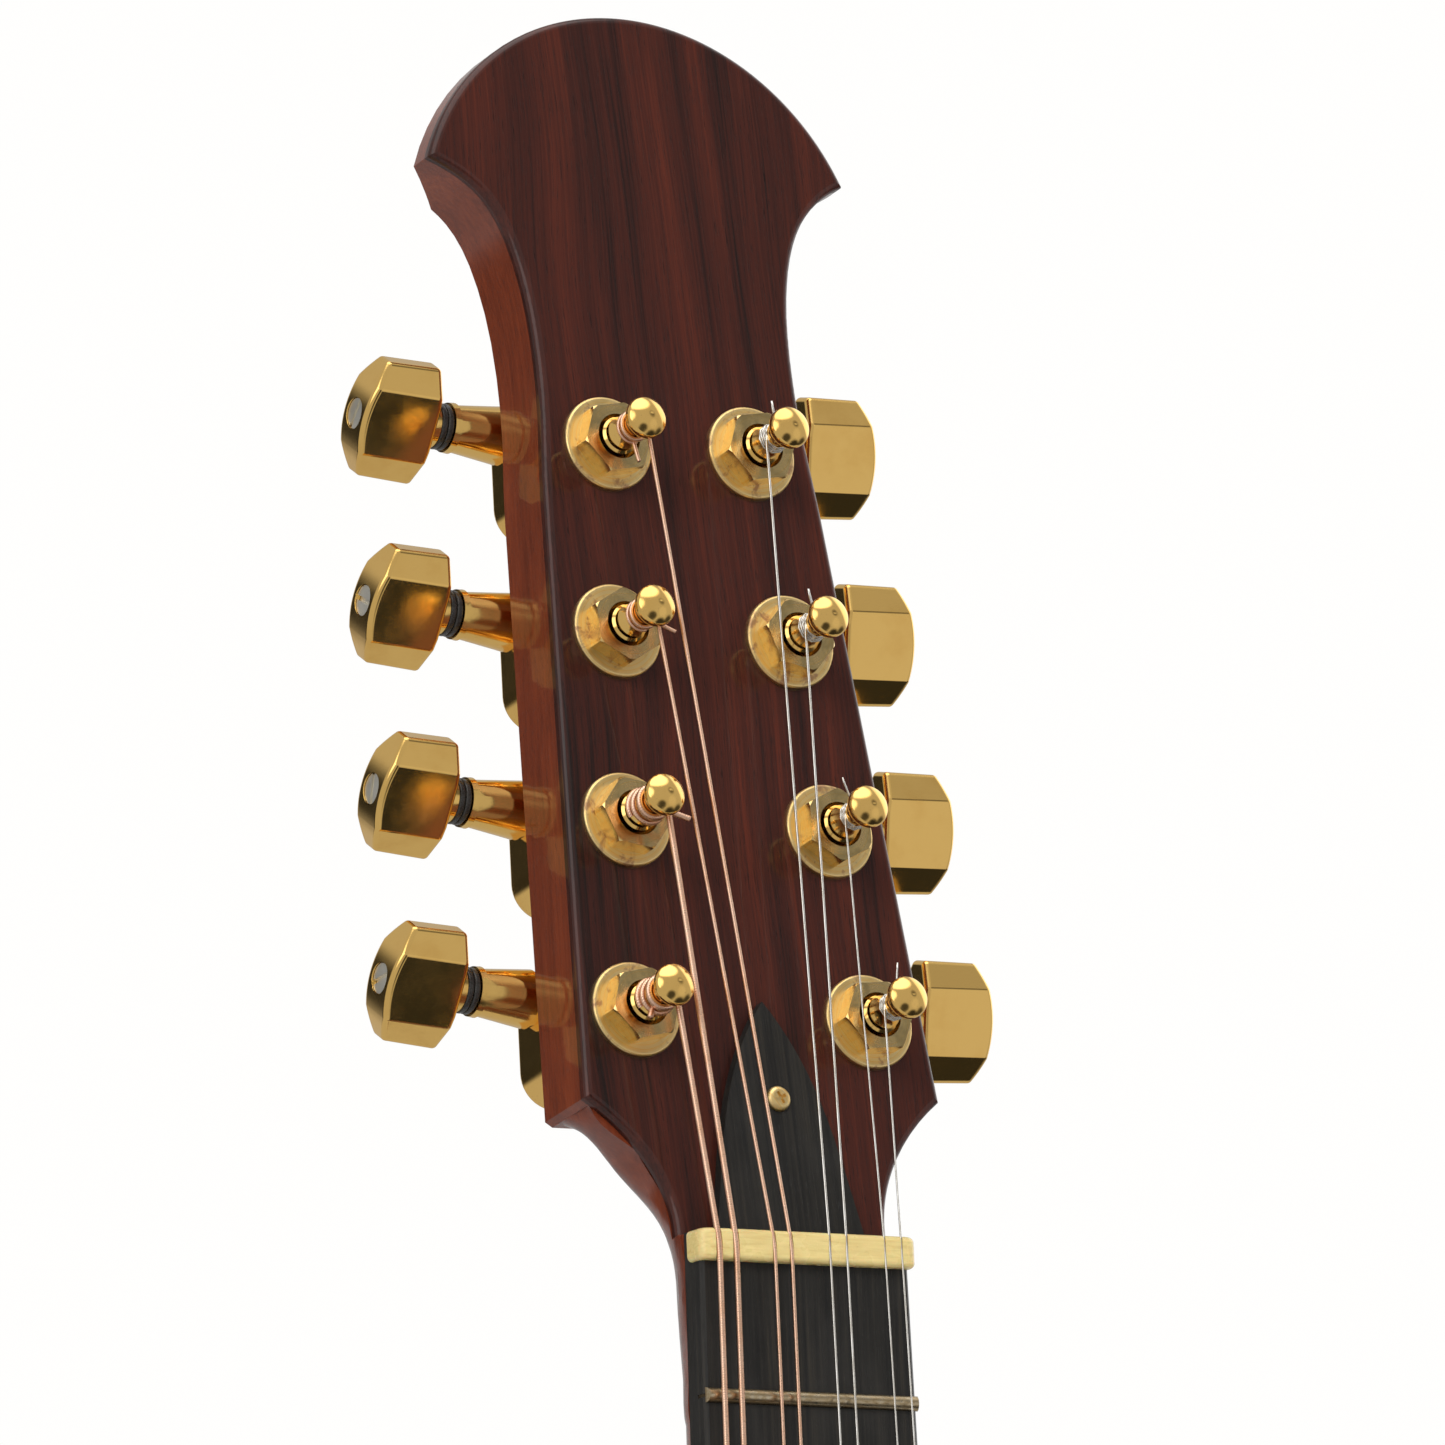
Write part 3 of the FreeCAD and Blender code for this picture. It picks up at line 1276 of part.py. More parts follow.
def make_button(number, sign, place):
    """Keystone button on a short collar: flat front and back, bevelled above and below."""
    start, end = dim("button_start"), dim("button_end")
    half, thick = dim("button_half_height"), dim("button_thickness")
    flat_start = start + 0.8
    corner_in, corner_out = flat_start + 0.8, end - 2.6
    plan = [line(flat_start, -3.4, flat_start, 3.4),
            line(flat_start, 3.4, corner_in, half),
            line(corner_in, half, corner_out, half - 0.2),
            arc((corner_out, half - 0.2), (end, 0), (corner_out, -half + 0.2)),
            line(corner_out, -half + 0.2, corner_in, -half),
            line(corner_in, -half, flat_start, -3.4)]
    flat = Part.Face(Part.Wire([p.toShape() for p in plan]))
    slab = flat.extrude(Vector(0, 0, thick))
    slab.translate(Vector(0, 0, -thick / 2))
    rim_half, flat_half = 1.2, 5.2
    section = polygon([(-half - 1, rim_half), (-flat_half, thick / 2), (flat_half, thick / 2),
                       (half + 1, rim_half), (half + 1, -rim_half), (flat_half, -thick / 2),
                       (-flat_half, -thick / 2), (-half - 1, -rim_half)])
    section_face = Part.Face(Part.Wire([p.toShape() for p in section]))
    bar = section_face.extrude(Vector(0, 0, end + 2))
    bar.Placement = frame_placement(Vector(), Vector(0, 1, 0), Vector(1, 0, 0))
    shape = slab.common(bar)
    shape = shape.makeFillet(BUTTON_EDGE_ROUND, shape.Edges)
    collar = rod(Vector(start, 0, 0), Vector(flat_start + 1, 0, 0), 3.5)
    shaft_hole = rod(Vector(0, 0, 0), Vector(end - 3.0 + 0.01, 0, 0), dim("shaft_radius") + 0.01)
    head_radius, shank_radius = 2.35, 0.78
    seat, head_top = end - 1.6, end - 0.3
    sink = rod(Vector(seat, 0, 0), Vector(end + 2, 0, 0), head_radius + 0.1)
    through = rod(Vector(end - 6, 0, 0), Vector(end, 0, 0), shank_radius + 0.04)
    shape = shape.fuse(collar).cut([shaft_hole, sink, through])
    screw = rod(Vector(seat, 0, 0), Vector(head_top, 0, 0), head_radius)
    screw = screw.fuse(rod(Vector(end - 7, 0, 0), Vector(seat + 0.1, 0, 0), shank_radius))
    screw = screw.cut(box(head_top - 0.6, -0.38, -3, end + 1, 0.38, 3))
    screw.rotate(Vector(), Vector(1, 0, 0), 37.0 * number)
    turn = dim("bass_button_turn") if sign < 0 else dim("treble_button_turn")
    both = Part.makeCompound([shape, screw])
    both.Placement = Placement(Vector(0, gear_side(sign), WORM_W),
                               Rotation(Vector(1, 0, 0), sign * turn))
    whole = shape_object("button_%d" % number, Part.makeCompound([both]),
                         tuner_placement(sign, place))
    keep(whole, "tuner_%d_button" % number)


def countersunk_screw(radius, head_radius, length):
    """Small cross-head wood screw along -Z with its head's top at the origin."""
    head = Part.makeCone(radius, head_radius, 0.9, Vector(0, 0, -0.9))
    shank = Part.makeCylinder(radius, length - 0.9, Vector(0, 0, -length))
    cross = box(-head_radius * 0.55, -0.2, -0.45, head_radius * 0.55, 0.2, 1)
    other = box(-0.2, -head_radius * 0.55, -0.45, 0.2, head_radius * 0.55, 1)
    return head.fuse(shank).cut([cross, other])


def make_small_screws():
    screws = []
    seat, head_top, dome = -dim("cover_thickness") / 3, 0.95, 0.85
    cover_screw = Part.makeCylinder(COVER_HEAD, head_top - seat, Vector(0, 0, seat))
    rim = [e for e in cover_screw.Edges if e.BoundBox.ZMin > head_top - 0.1]
    cover_screw = cover_screw.makeFillet(dome, rim)
    shank_end = -3.4
    cover_screw = cover_screw.fuse(
        Part.makeCylinder(COVER_SHANK, seat - shank_end + 0.1, Vector(0, 0, shank_end)))
    for turn in (25, 115):
        slot = box(-1.0, -0.25, 0.35, 1.0, 0.25, 2)
        slot.rotate(Vector(), Vector(0, 0, 1), turn)
        cover_screw = cover_screw.cut(slot)
    cover_screw.Placement = frame_placement(
        head_point(dim("cover_shift") + COVER_SCREW_SHIFT, COVER_SCREW_V, dim("cover_thickness")),
        Vector(1, 0, 0), HEAD_W)
    screws.append(cover_screw)
    for x in TAIL_SCREWS_X:
        surface = LOWER_R - math.sqrt((LOWER_R + 1.6) ** 2 - x ** 2)
        screw = countersunk_screw(1.25, 2.4, 3.0)
        screw.Placement = frame_placement(Vector(x, TAIL_SCREWS_Y, surface - 0.95), Vector(1, 0, 0),
                                          Vector(0, 0, -1))
        screws.append(screw)
    group("small_screws", screws)


def make_tuners():
    for number, (sign, place) in enumerate(TUNERS, start=1):
        make_post(number, sign, place)
        make_wheel(number, sign, place)
        make_worm(number, sign, place)
        make_button(number, sign, place)


# --------------------------------------------------------------------------------------
# Build everything, check it, then write one STEP file for each sub-part
# --------------------------------------------------------------------------------------
make_soundboard()
make_rosette()
make_back()
make_sides()
make_binding()
make_blocks()
make_linings()
make_braces()
make_headstock_face()
make_neck()
make_truss_rod()
make_truss_cover()
make_fretboard()
make_frets()
make_markers()
make_strings()
make_nut()
make_bridge()
make_saddle()
make_tailpiece()
make_end_pin()
make_washers()
make_bushings()
make_housings()
make_tuners()
make_small_screws()
doc.recompute()

problems = []
for thing in doc.Objects:
    if "Invalid" in thing.State or "Error" in thing.State:
        problems.append("%s is in state %s" % (thing.Name, thing.State))
for thing in SUBPARTS:
    if thing.Shape.isNull() or not thing.Shape.isValid() or not thing.Shape.Solids:
        problems.append("%s has no valid solid" % thing.Label)
if problems:
    raise SystemExit("\n".join(problems))

os.makedirs("parts", exist_ok=True)
for thing in SUBPARTS:
    thing.Shape.exportStep(os.path.join("parts", thing.Label + ".step"))
print("wrote", len(SUBPARTS), "sub-parts")
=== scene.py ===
"""Looks of the eight-string bouzouki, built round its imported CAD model.

Everything is in metres in the part frame: +Z runs up the instrument, -Y is the soundboard
side and -X the bass side.  Places come from the model's boxes and joints.
"""

import json
import math

import bpy
import numpy as np
from mathutils import Matrix, Vector


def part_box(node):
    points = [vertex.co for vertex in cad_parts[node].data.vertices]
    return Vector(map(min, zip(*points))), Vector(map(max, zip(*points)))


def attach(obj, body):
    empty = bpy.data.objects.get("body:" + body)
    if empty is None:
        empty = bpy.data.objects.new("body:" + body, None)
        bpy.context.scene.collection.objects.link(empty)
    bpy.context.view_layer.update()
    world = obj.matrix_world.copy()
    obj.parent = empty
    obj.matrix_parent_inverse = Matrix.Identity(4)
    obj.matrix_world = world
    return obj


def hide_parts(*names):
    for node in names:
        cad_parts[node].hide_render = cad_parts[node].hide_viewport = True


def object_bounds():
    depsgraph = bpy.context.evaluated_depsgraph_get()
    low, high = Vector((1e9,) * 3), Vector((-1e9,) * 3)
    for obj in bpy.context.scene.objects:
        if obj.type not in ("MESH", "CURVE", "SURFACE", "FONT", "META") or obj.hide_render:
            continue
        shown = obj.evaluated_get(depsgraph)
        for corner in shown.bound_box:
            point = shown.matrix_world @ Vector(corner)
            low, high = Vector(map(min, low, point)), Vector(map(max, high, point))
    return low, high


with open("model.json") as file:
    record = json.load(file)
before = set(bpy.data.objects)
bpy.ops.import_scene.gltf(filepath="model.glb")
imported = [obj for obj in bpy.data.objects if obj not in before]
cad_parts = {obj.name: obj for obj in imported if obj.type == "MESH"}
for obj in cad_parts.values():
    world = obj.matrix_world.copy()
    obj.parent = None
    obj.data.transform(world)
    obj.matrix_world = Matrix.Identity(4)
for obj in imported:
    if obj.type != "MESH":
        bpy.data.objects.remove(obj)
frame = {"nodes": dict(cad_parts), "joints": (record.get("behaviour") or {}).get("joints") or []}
cad_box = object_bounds()

MM = 0.001
NODES = frame["nodes"]
JOINTS = {joint["name"]: joint for joint in frame["joints"]}


# --------------------------------------------------------------------------------------
# Places taken from the frame
# --------------------------------------------------------------------------------------
def middle(node):
    low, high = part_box(node)
    return (low + high) / 2


BOARD_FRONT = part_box("fretboard")[0].y
NUT_LOW, NUT_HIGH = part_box("nut")
SADDLE = middle("saddle")
BODY_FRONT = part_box("soundboard")[0].y
ROSETTE = middle("rosette")
BODY_LOW, BODY_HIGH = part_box("sides")
ACROSS = Vector((1, 0, 0))
HEAD_OUT = Vector(JOINTS["post_1_turn"]["axis"])
HEAD_UP = HEAD_OUT.cross(ACROSS)
HEAD_SLOPE = HEAD_UP.y / HEAD_UP.z


class Tuner:
    """Places of one tuner; odd numbers are on the bass side, 1 and 2 nearest the nut."""

    def __init__(self, number):
        self.number = number
        self.side = -1 if number % 2 else 1
        self.base = Vector(JOINTS["post_%d_turn" % number]["pos_m"])
        self.worm = Vector(JOINTS["button_%d_turn" % number]["pos_m"])
        self.shaft = Vector(JOINTS["button_%d_turn" % number]["axis"])

    def point(self, u, v, height):
        """A point in millimetres across, up and out from the foot of the post."""
        return self.base + (ACROSS * u + HEAD_UP * v + HEAD_OUT * height) * MM


TUNERS = {number: Tuner(number) for number in range(1, 9)}


# --------------------------------------------------------------------------------------
# Node materials
# --------------------------------------------------------------------------------------
class Paint:
    """A node material being put together."""

    def __init__(self, name):
        self.material = bpy.data.materials.new(name)
        self.material.use_nodes = True
        self.tree = self.material.node_tree
        self.tree.nodes.clear()
        self.position = self.node("ShaderNodeTexCoord").outputs["Object"]

    def node(self, kind, inputs=None, **settings):
        made = self.tree.nodes.new(kind)
        for key, value in settings.items():
            setattr(made, key, value)
        for key, value in (inputs or {}).items():
            if isinstance(value, bpy.types.NodeSocket):
                self.tree.links.new(value, made.inputs[key])
            else:
                made.inputs[key].default_value = value
        return made

    def math(self, operation, a, b=0.0):
        made = self.node("ShaderNodeMath", {0: a, 1: b}, operation=operation)
        return made.outputs[0]

    def split(self, vector):
        return self.node("ShaderNodeSeparateXYZ", {0: vector}).outputs

    def join(self, x, y, z):
        return self.node("ShaderNodeCombineXYZ", {0: x, 1: y, 2: z}).outputs[0]

    def scaled(self, vector, x, y, z):
        """The vector times a factor for each axis; factors are per millimetre."""
        factors = (x / MM, y / MM, z / MM)
        made = self.node("ShaderNodeVectorMath", {0: vector, 1: factors}, operation="MULTIPLY")
        return made.outputs[0]

    def along(self, origin, axis):
        """Distance in millimetres from a point, along an axis."""
        offset = self.node("ShaderNodeVectorMath", {0: self.position, 1: origin},
                           operation="SUBTRACT")
        made = self.node("ShaderNodeVectorMath", {0: offset.outputs[0], 1: Vector(axis) / MM},
                         operation="DOT_PRODUCT")
        return made.outputs["Value"]

    def noise(self, vector, detail=2.0, roughness=0.5, distortion=0.0):
        made = self.node("ShaderNodeTexNoise", {
            "Vector": vector, "Scale": 1.0, "Detail": detail, "Roughness": roughness,
            "Distortion": distortion})
        return made.outputs[0]

    def spread(self, value, low, high, to_low=0.0, to_high=1.0):
        """Stretch a range of values onto another, with soft ends."""
        made = self.node("ShaderNodeMapRange", {
            "Value": value, "From Min": low, "From Max": high, "To Min": to_low,
            "To Max": to_high}, interpolation_type="SMOOTHSTEP")
        return made.outputs[0]

    def ramp(self, value, stops):
        made = self.node("ShaderNodeValToRGB", {0: value})
        elements = made.color_ramp.elements
        while len(elements) < len(stops):
            elements.new(0.5)
        for element, (place, colour) in zip(elements, stops):
            element.position = place
            element.color = (*colour, 1)
        return made.outputs[0]

    def mix(self, share, a, b):
        made = self.node("ShaderNodeMix", {0: share}, data_type="RGBA")
        for index, value in ((6, a), (7, b)):
            if isinstance(value, bpy.types.NodeSocket):
                self.tree.links.new(value, made.inputs[index])
            else:
                made.inputs[index].default_value = (*value, 1)
        return made.outputs[2]

    def bump(self, height, depth):
        """Depth is in millimetres."""
        inputs = {"Height": height, "Distance": depth * MM, "Strength": 1.0}
        return self.node("ShaderNodeBump", inputs).outputs[0]

    def finish(self, colour, roughness, **more):
        if not isinstance(colour, bpy.types.NodeSocket):
            colour = (*colour, 1)
        inputs = {"Base Color": colour, "Roughness": roughness}
        inputs.update({key.replace("_", " "): value for key, value in more.items()})
        shader = self.node("ShaderNodeBsdfPrincipled", inputs)
        output = self.node("ShaderNodeOutputMaterial")
        self.tree.links.new(shader.outputs[0], output.inputs[0])
        return self.material


def grain_space(paint, mirrored=False):
    """Position whose third axis follows the wood: straight in the neck, bent in the headstock."""
    x, y, z = paint.split(paint.position)
    above_nut = paint.math("MAXIMUM", paint.math("SUBTRACT", z, NUT_HIGH.z), 0.0)
    depth = paint.math("SUBTRACT", y, paint.math("MULTIPLY", above_nut, HEAD_SLOPE))
    if mirrored:
        x = paint.math("ABSOLUTE", x)
    return paint.join(x, depth, z)


def lacquered_wood(name, stops, pore_share, streak=(0.22, 0.22, 0.006), fine=(2.0, 2.0, 0.03),
                   mirrored=False, coat=0.9, ripple=0.02, seed=0.0):
    """Straight-grained wood under gloss lacquer: broad streaks, fine lines and open pores."""
    paint = Paint(name)
    space = grain_space(paint, mirrored)
    shifted = paint.node("ShaderNodeVectorMath", {0: space, 1: (seed, seed, seed)},
                         operation="ADD").outputs[0]
    sway = paint.noise(paint.scaled(shifted, 0.02, 0.02, 0.012), detail=1.0)
    sideways = paint.math("MULTIPLY", paint.math("SUBTRACT", sway, 0.5), 9.0 * MM)
    bent = paint.node("ShaderNodeVectorMath", {0: shifted, 1: paint.join(sideways, 0.0, 0.0)},
                      operation="ADD").outputs[0]
    broad = paint.noise(paint.scaled(bent, *streak), detail=4.0, roughness=0.6)
    lines = paint.noise(paint.scaled(bent, *fine), detail=3.0, roughness=0.65)
    pores = paint.noise(paint.scaled(bent, 7.0, 7.0, 0.28), detail=1.5, roughness=0.6)
    tone = paint.math("ADD", paint.math("MULTIPLY", broad, 0.62), paint.math("MULTIPLY", lines, 0.38))
    colour = paint.ramp(tone, stops)
    open_pore = paint.spread(pores, 0.60, 0.70)
    dark = paint.math("MULTIPLY", open_pore, pore_share)
    colour = paint.mix(dark, colour, tuple(0.35 * channel for channel in stops[0][1]))
    waves = paint.noise(paint.scaled(paint.position, 0.35, 0.35, 0.12), detail=2.0)
    lacquer = paint.bump(paint.math("SUBTRACT", waves, paint.math("MULTIPLY", open_pore, 0.12)),
                         ripple)
    grain = paint.bump(paint.math("SUBTRACT", lines, open_pore), 0.03)
    haze = paint.noise(paint.scaled(paint.position, 0.05, 0.05, 0.05), detail=3.0)
    return paint.finish(colour, 0.42, Normal=grain, Coat_Weight=coat,
                        Coat_Roughness=paint.spread(haze, 0.35, 0.7, 0.04, 0.11),
                        Coat_Normal=lacquer, Specular_IOR_Level=0.06)


def rosewood_face():
    return lacquered_wood("rosewood_face", (
        (0.34, (0.010, 0.0052, 0.0044)), (0.44, (0.028, 0.0078, 0.0056)),
        (0.55, (0.043, 0.0102, 0.0064)), (0.70, (0.078, 0.0155, 0.0078))), 0.6,
        streak=(0.16, 0.16, 0.006), fine=(2.6, 2.6, 0.03), coat=0.6)


BODY_TONES = ((0.34, (0.014, 0.0060, 0.0045)), (0.46, (0.050, 0.0160, 0.0090)),
              (0.56, (0.090, 0.0260, 0.0120)), (0.68, (0.170, 0.0500, 0.0180)))


def rosewood_body():
    return lacquered_wood("rosewood_body", BODY_TONES, 0.8,
        streak=(0.13, 0.13, 0.004), mirrored=True, seed=0.37)


def rosewood_sides():
    """Grain that follows the bent rib: it changes fast through the depth, slowly along it."""
    return lacquered_wood("rosewood_sides", BODY_TONES, 0.5,
        streak=(0.006, 0.16, 0.006), fine=(0.05, 2.0, 0.05), seed=0.61)


def mahogany():
    return lacquered_wood("mahogany", (
        (0.36, (0.075, 0.0150, 0.0060)), (0.47, (0.112, 0.0215, 0.0078)),
        (0.55, (0.135, 0.0260, 0.0090)), (0.68, (0.185, 0.0380, 0.0120))), 0.45,
        streak=(0.12, 0.12, 0.004), fine=(1.3, 1.3, 0.035), seed=0.13)


def spruce():
    """Soundboard: even annual lines along the body, matched at the centre join."""
    paint = Paint("spruce")
    space = grain_space(paint, mirrored=True)
    sway = paint.noise(paint.scaled(space, 0.01, 0.01, 0.006), detail=1.0)
    x = paint.split(space)[0]
    across = paint.math("ADD", paint.math("DIVIDE", x, MM), paint.math("MULTIPLY", sway, 4.0))
    rings = paint.math("SINE", paint.math("MULTIPLY", across, 4.6))
    uneven = paint.noise(paint.scaled(space, 0.7, 0.1, 0.003), detail=3.0)
    rings = paint.math("ADD", paint.math("MULTIPLY", rings, 0.22), uneven)
    colour = paint.ramp(rings, ((0.25, (0.62, 0.36, 0.135)), (0.55, (0.55, 0.29, 0.095)),
                                (0.80, (0.33, 0.145, 0.042))))
    silk = paint.noise(paint.scaled(space, 0.35, 0.3, 0.9), detail=3.0, distortion=0.6)
    colour = paint.mix(paint.spread(silk, 0.52, 0.72, 0.0, 0.35), colour, (0.70, 0.44, 0.19))
    return paint.finish(colour, 0.4, Coat_Weight=1.0, Coat_Roughness=0.06,
                        Normal=paint.bump(rings, 0.015),
                        Coat_Normal=paint.bump(paint.noise(paint.scaled(paint.position, 0.2, 0.2, 0.2)),
                                               0.012))


def bare_wood():
    """Unfinished blocks, linings and braces inside the body."""
    paint = Paint("bare_wood")
    space = grain_space(paint)
    lines = paint.noise(paint.scaled(space, 1.6, 1.6, 0.05), detail=4.0, roughness=0.6)
    fibre = paint.noise(paint.scaled(space, 9.0, 9.0, 0.5), detail=2.0)
    colour = paint.ramp(lines, ((0.3, (0.58, 0.38, 0.19)), (0.55, (0.49, 0.29, 0.13)),
                                (0.75, (0.34, 0.18, 0.07))))
    return paint.finish(colour, paint.spread(fibre, 0.3, 0.7, 0.55, 0.8),
                        Normal=paint.bump(paint.math("ADD", lines, fibre), 0.05))


def kerfed_wood():
    """Linings sawn across every few millimetres so that they bend, with painted shade in the cuts."""
    paint = Paint("kerfed_wood")
    x, _, z = paint.split(paint.position)
    turn = paint.math("ARCTAN2", paint.math("SUBTRACT", z, (BODY_LOW.z + BODY_HIGH.z) * 0.42), x)
    saw = paint.math("PINGPONG", paint.math("MULTIPLY", turn, 34.0), 1.0)
    between_shaded_cuts = paint.spread(saw, 0.0, 0.16)
    lines = paint.noise(paint.scaled(paint.position, 1.0, 1.0, 1.0), detail=4.0)
    # The saw cuts are painted dark brown: painted shade inside the cuts, which are only a shallow bump
    # here.
    colour = paint.mix(between_shaded_cuts, (0.12, 0.06, 0.025), paint.ramp(lines, (
        (0.3, (0.55, 0.35, 0.17)), (0.7, (0.42, 0.24, 0.10)))))
    return paint.finish(colour, 0.7, Normal=paint.bump(between_shaded_cuts, 0.6))


def ebony(name, gloss):
    """Near-black wood with faint brown lines and a hand-rubbed sheen."""
    paint = Paint(name)
    space = grain_space(paint)
    lines = paint.noise(paint.scaled(space, 1.6, 1.6, 0.03), detail=4.0, roughness=0.6)
    pores = paint.noise(paint.scaled(space, 8.0, 8.0, 0.35), detail=2.0)
    rub = paint.noise(paint.scaled(space, 0.12, 0.12, 0.08), detail=4.0)
    colour = paint.ramp(lines, ((0.35, (0.0080, 0.0076, 0.0072)), (0.55, (0.0135, 0.0123, 0.0107)),
                                (0.75, (0.0240, 0.0200, 0.0150))))
    colour = paint.mix(paint.spread(rub, 0.45, 0.75, 0.0, 0.25), colour, (0.034, 0.031, 0.028))
    height = paint.math("SUBTRACT", paint.math("MULTIPLY", lines, 0.5), paint.spread(pores, 0.6, 0.72))
    return paint.finish(colour, paint.spread(rub, 0.3, 0.7, gloss - 0.06, gloss + 0.1),
                        Normal=paint.bump(height, 0.03), Specular_IOR_Level=0.22)


def bone():
    """Cream bone with faint darker fibres, cloudy patches and small dark flecks."""
    paint = Paint("bone")
    fibres = paint.noise(paint.scaled(paint.position, 0.16, 1.2, 2.2), detail=4.0, roughness=0.6)
    cloud = paint.noise(paint.scaled(paint.position, 0.25, 0.3, 0.3), detail=2.0)
    flecks = paint.noise(paint.scaled(paint.position, 3.0, 3.0, 3.0), detail=2.0)
    colour = paint.ramp(fibres, ((0.30, (0.58, 0.46, 0.195)), (0.52, (0.52, 0.41, 0.165)),
                                 (0.72, (0.45, 0.33, 0.120))))
    colour = paint.mix(paint.spread(cloud, 0.45, 0.75, 0.0, 0.45), colour, (0.47, 0.34, 0.13))
    colour = paint.mix(paint.spread(flecks, 0.68, 0.78, 0.0, 0.5), colour, (0.30, 0.19, 0.08))
    return paint.finish(colour, paint.spread(cloud, 0.3, 0.7, 0.22, 0.36),
                        Normal=paint.bump(paint.math("ADD", fibres, flecks), 0.02),
                        Subsurface_Weight=0.25, Subsurface_Scale=0.8 * MM,
                        Coat_Weight=0.3, Coat_Roughness=0.12)


def celluloid():
    """Cream binding with a faint grained stripe."""
    paint = Paint("celluloid")
    stripe = paint.noise(paint.scaled(paint.position, 0.12, 3.0, 0.12), detail=3.0)
    colour = paint.ramp(stripe, ((0.3, (0.78, 0.66, 0.42)), (0.55, (0.70, 0.56, 0.32)),
                                 (0.75, (0.58, 0.43, 0.22))))
    return paint.finish(colour, 0.3, Coat_Weight=0.8, Coat_Roughness=0.06,
                        Normal=paint.bump(stripe, 0.01))


def pearl():
    """Shell dots whose colour drifts through pale greens and pinks."""
    paint = Paint("pearl")
    swirl = paint.noise(paint.scaled(paint.position, 0.35, 0.35, 0.35), detail=4.0, distortion=1.6)
    bands = paint.math("PINGPONG", paint.math("MULTIPLY", swirl, 7.0), 1.0)
    colour = paint.ramp(bands, ((0.0, (0.62, 0.70, 0.66)), (0.4, (0.80, 0.78, 0.72)),
                                (0.7, (0.74, 0.62, 0.64)), (1.0, (0.52, 0.64, 0.70))))
    return paint.finish(colour, 0.22, Coat_Weight=1.0, Coat_Roughness=0.05,
                        Normal=paint.bump(swirl, 0.02))


def rosette_mosaic():
    """Rings of pale and dark lines either side of a band of small wooden tiles."""
    paint = Paint("rosette_mosaic")
    x, _, z = paint.split(paint.position)
    up = paint.math("SUBTRACT", z, ROSETTE.z)
    radius = paint.math("POWER", paint.math("ADD", paint.math("MULTIPLY", x, x),
                                            paint.math("MULTIPLY", up, up)), 0.5)
    half_width = (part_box("rosette")[1].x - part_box("rosette")[0].x) / 2
    ring_width, tile_pairs = 6.0 * MM, 96
    inner = half_width - ring_width
    place = paint.math("DIVIDE", paint.math("SUBTRACT", radius, inner), ring_width)
    rings = paint.ramp(place, ((0.0, (0.02, 0.012, 0.008)), (0.09, (0.62, 0.46, 0.24)),
                               (0.14, (0.02, 0.012, 0.008)), (0.22, (0.22, 0.05, 0.02)),
                               (0.78, (0.22, 0.05, 0.02)), (0.86, (0.02, 0.012, 0.008)),
                               (0.93, (0.62, 0.46, 0.24)), (1.0, (0.02, 0.012, 0.008))))
    turn = paint.math("MULTIPLY", paint.math("ARCTAN2", up, x), tile_pairs / math.tau)
    row = paint.math("FLOOR", paint.math("MULTIPLY", place, 9.0))
    column = paint.math("FLOOR", paint.math("ADD", turn, paint.math("MULTIPLY", row, 0.5)))
    tiles = paint.math("PINGPONG", paint.math("ADD", row, column), 1.0)
    tile_colour = paint.mix(tiles, (0.05, 0.018, 0.010), (0.55, 0.36, 0.16))
    in_band = paint.math("MULTIPLY", paint.math("GREATER_THAN", place, 0.24),
                         paint.math("LESS_THAN", place, 0.76))
    colour = paint.mix(in_band, rings, tile_colour)
    fibre = paint.noise(paint.scaled(paint.position, 4.0, 4.0, 4.0), detail=2.0)
    return paint.finish(colour, 0.35, Coat_Weight=1.0, Coat_Roughness=0.06,
                        Normal=paint.bump(fibre, 0.01))


GOLD = (0.97, 0.62, 0.19)
PALE_GOLD = (0.97, 0.73, 0.34)
TARNISH = (0.36, 0.20, 0.13)

# Places along a tuner's shaft, in millimetres from the worm
WASHERS_FROM, WASHERS_TO = 17.25, 19.45
END_SCREW_FROM, END_SCREW_RADIUS = 31.0, 2.4


def polished_gold():
    """Plated and buffed, with fine scratches and a few dull patches."""
    paint = Paint("polished_gold")
    patches = paint.noise(paint.scaled(paint.position, 0.14, 0.14, 0.14), detail=4.0, roughness=0.6)
    hair = paint.noise(paint.scaled(paint.position, 1.2, 6.0, 9.0), detail=3.0, roughness=0.7)
    pits = paint.noise(paint.scaled(paint.position, 4.5, 4.5, 4.5), detail=1.0)
    colour = paint.mix(paint.spread(patches, 0.45, 0.75, 0.0, 0.45), GOLD, (0.86, 0.50, 0.13))
    colour = paint.mix(paint.spread(pits, 0.73, 0.80, 0.0, 0.7), colour, TARNISH)
    roughness = paint.math("ADD", paint.spread(patches, 0.3, 0.7, 0.06, 0.15),
                           paint.spread(hair, 0.45, 0.8, 0.0, 0.08))
    height = paint.math("SUBTRACT", paint.math("MULTIPLY", hair, 0.25), paint.spread(pits, 0.7, 0.8))
    return paint.finish(colour, roughness, Metallic=1.0, Normal=paint.bump(height, 0.004))


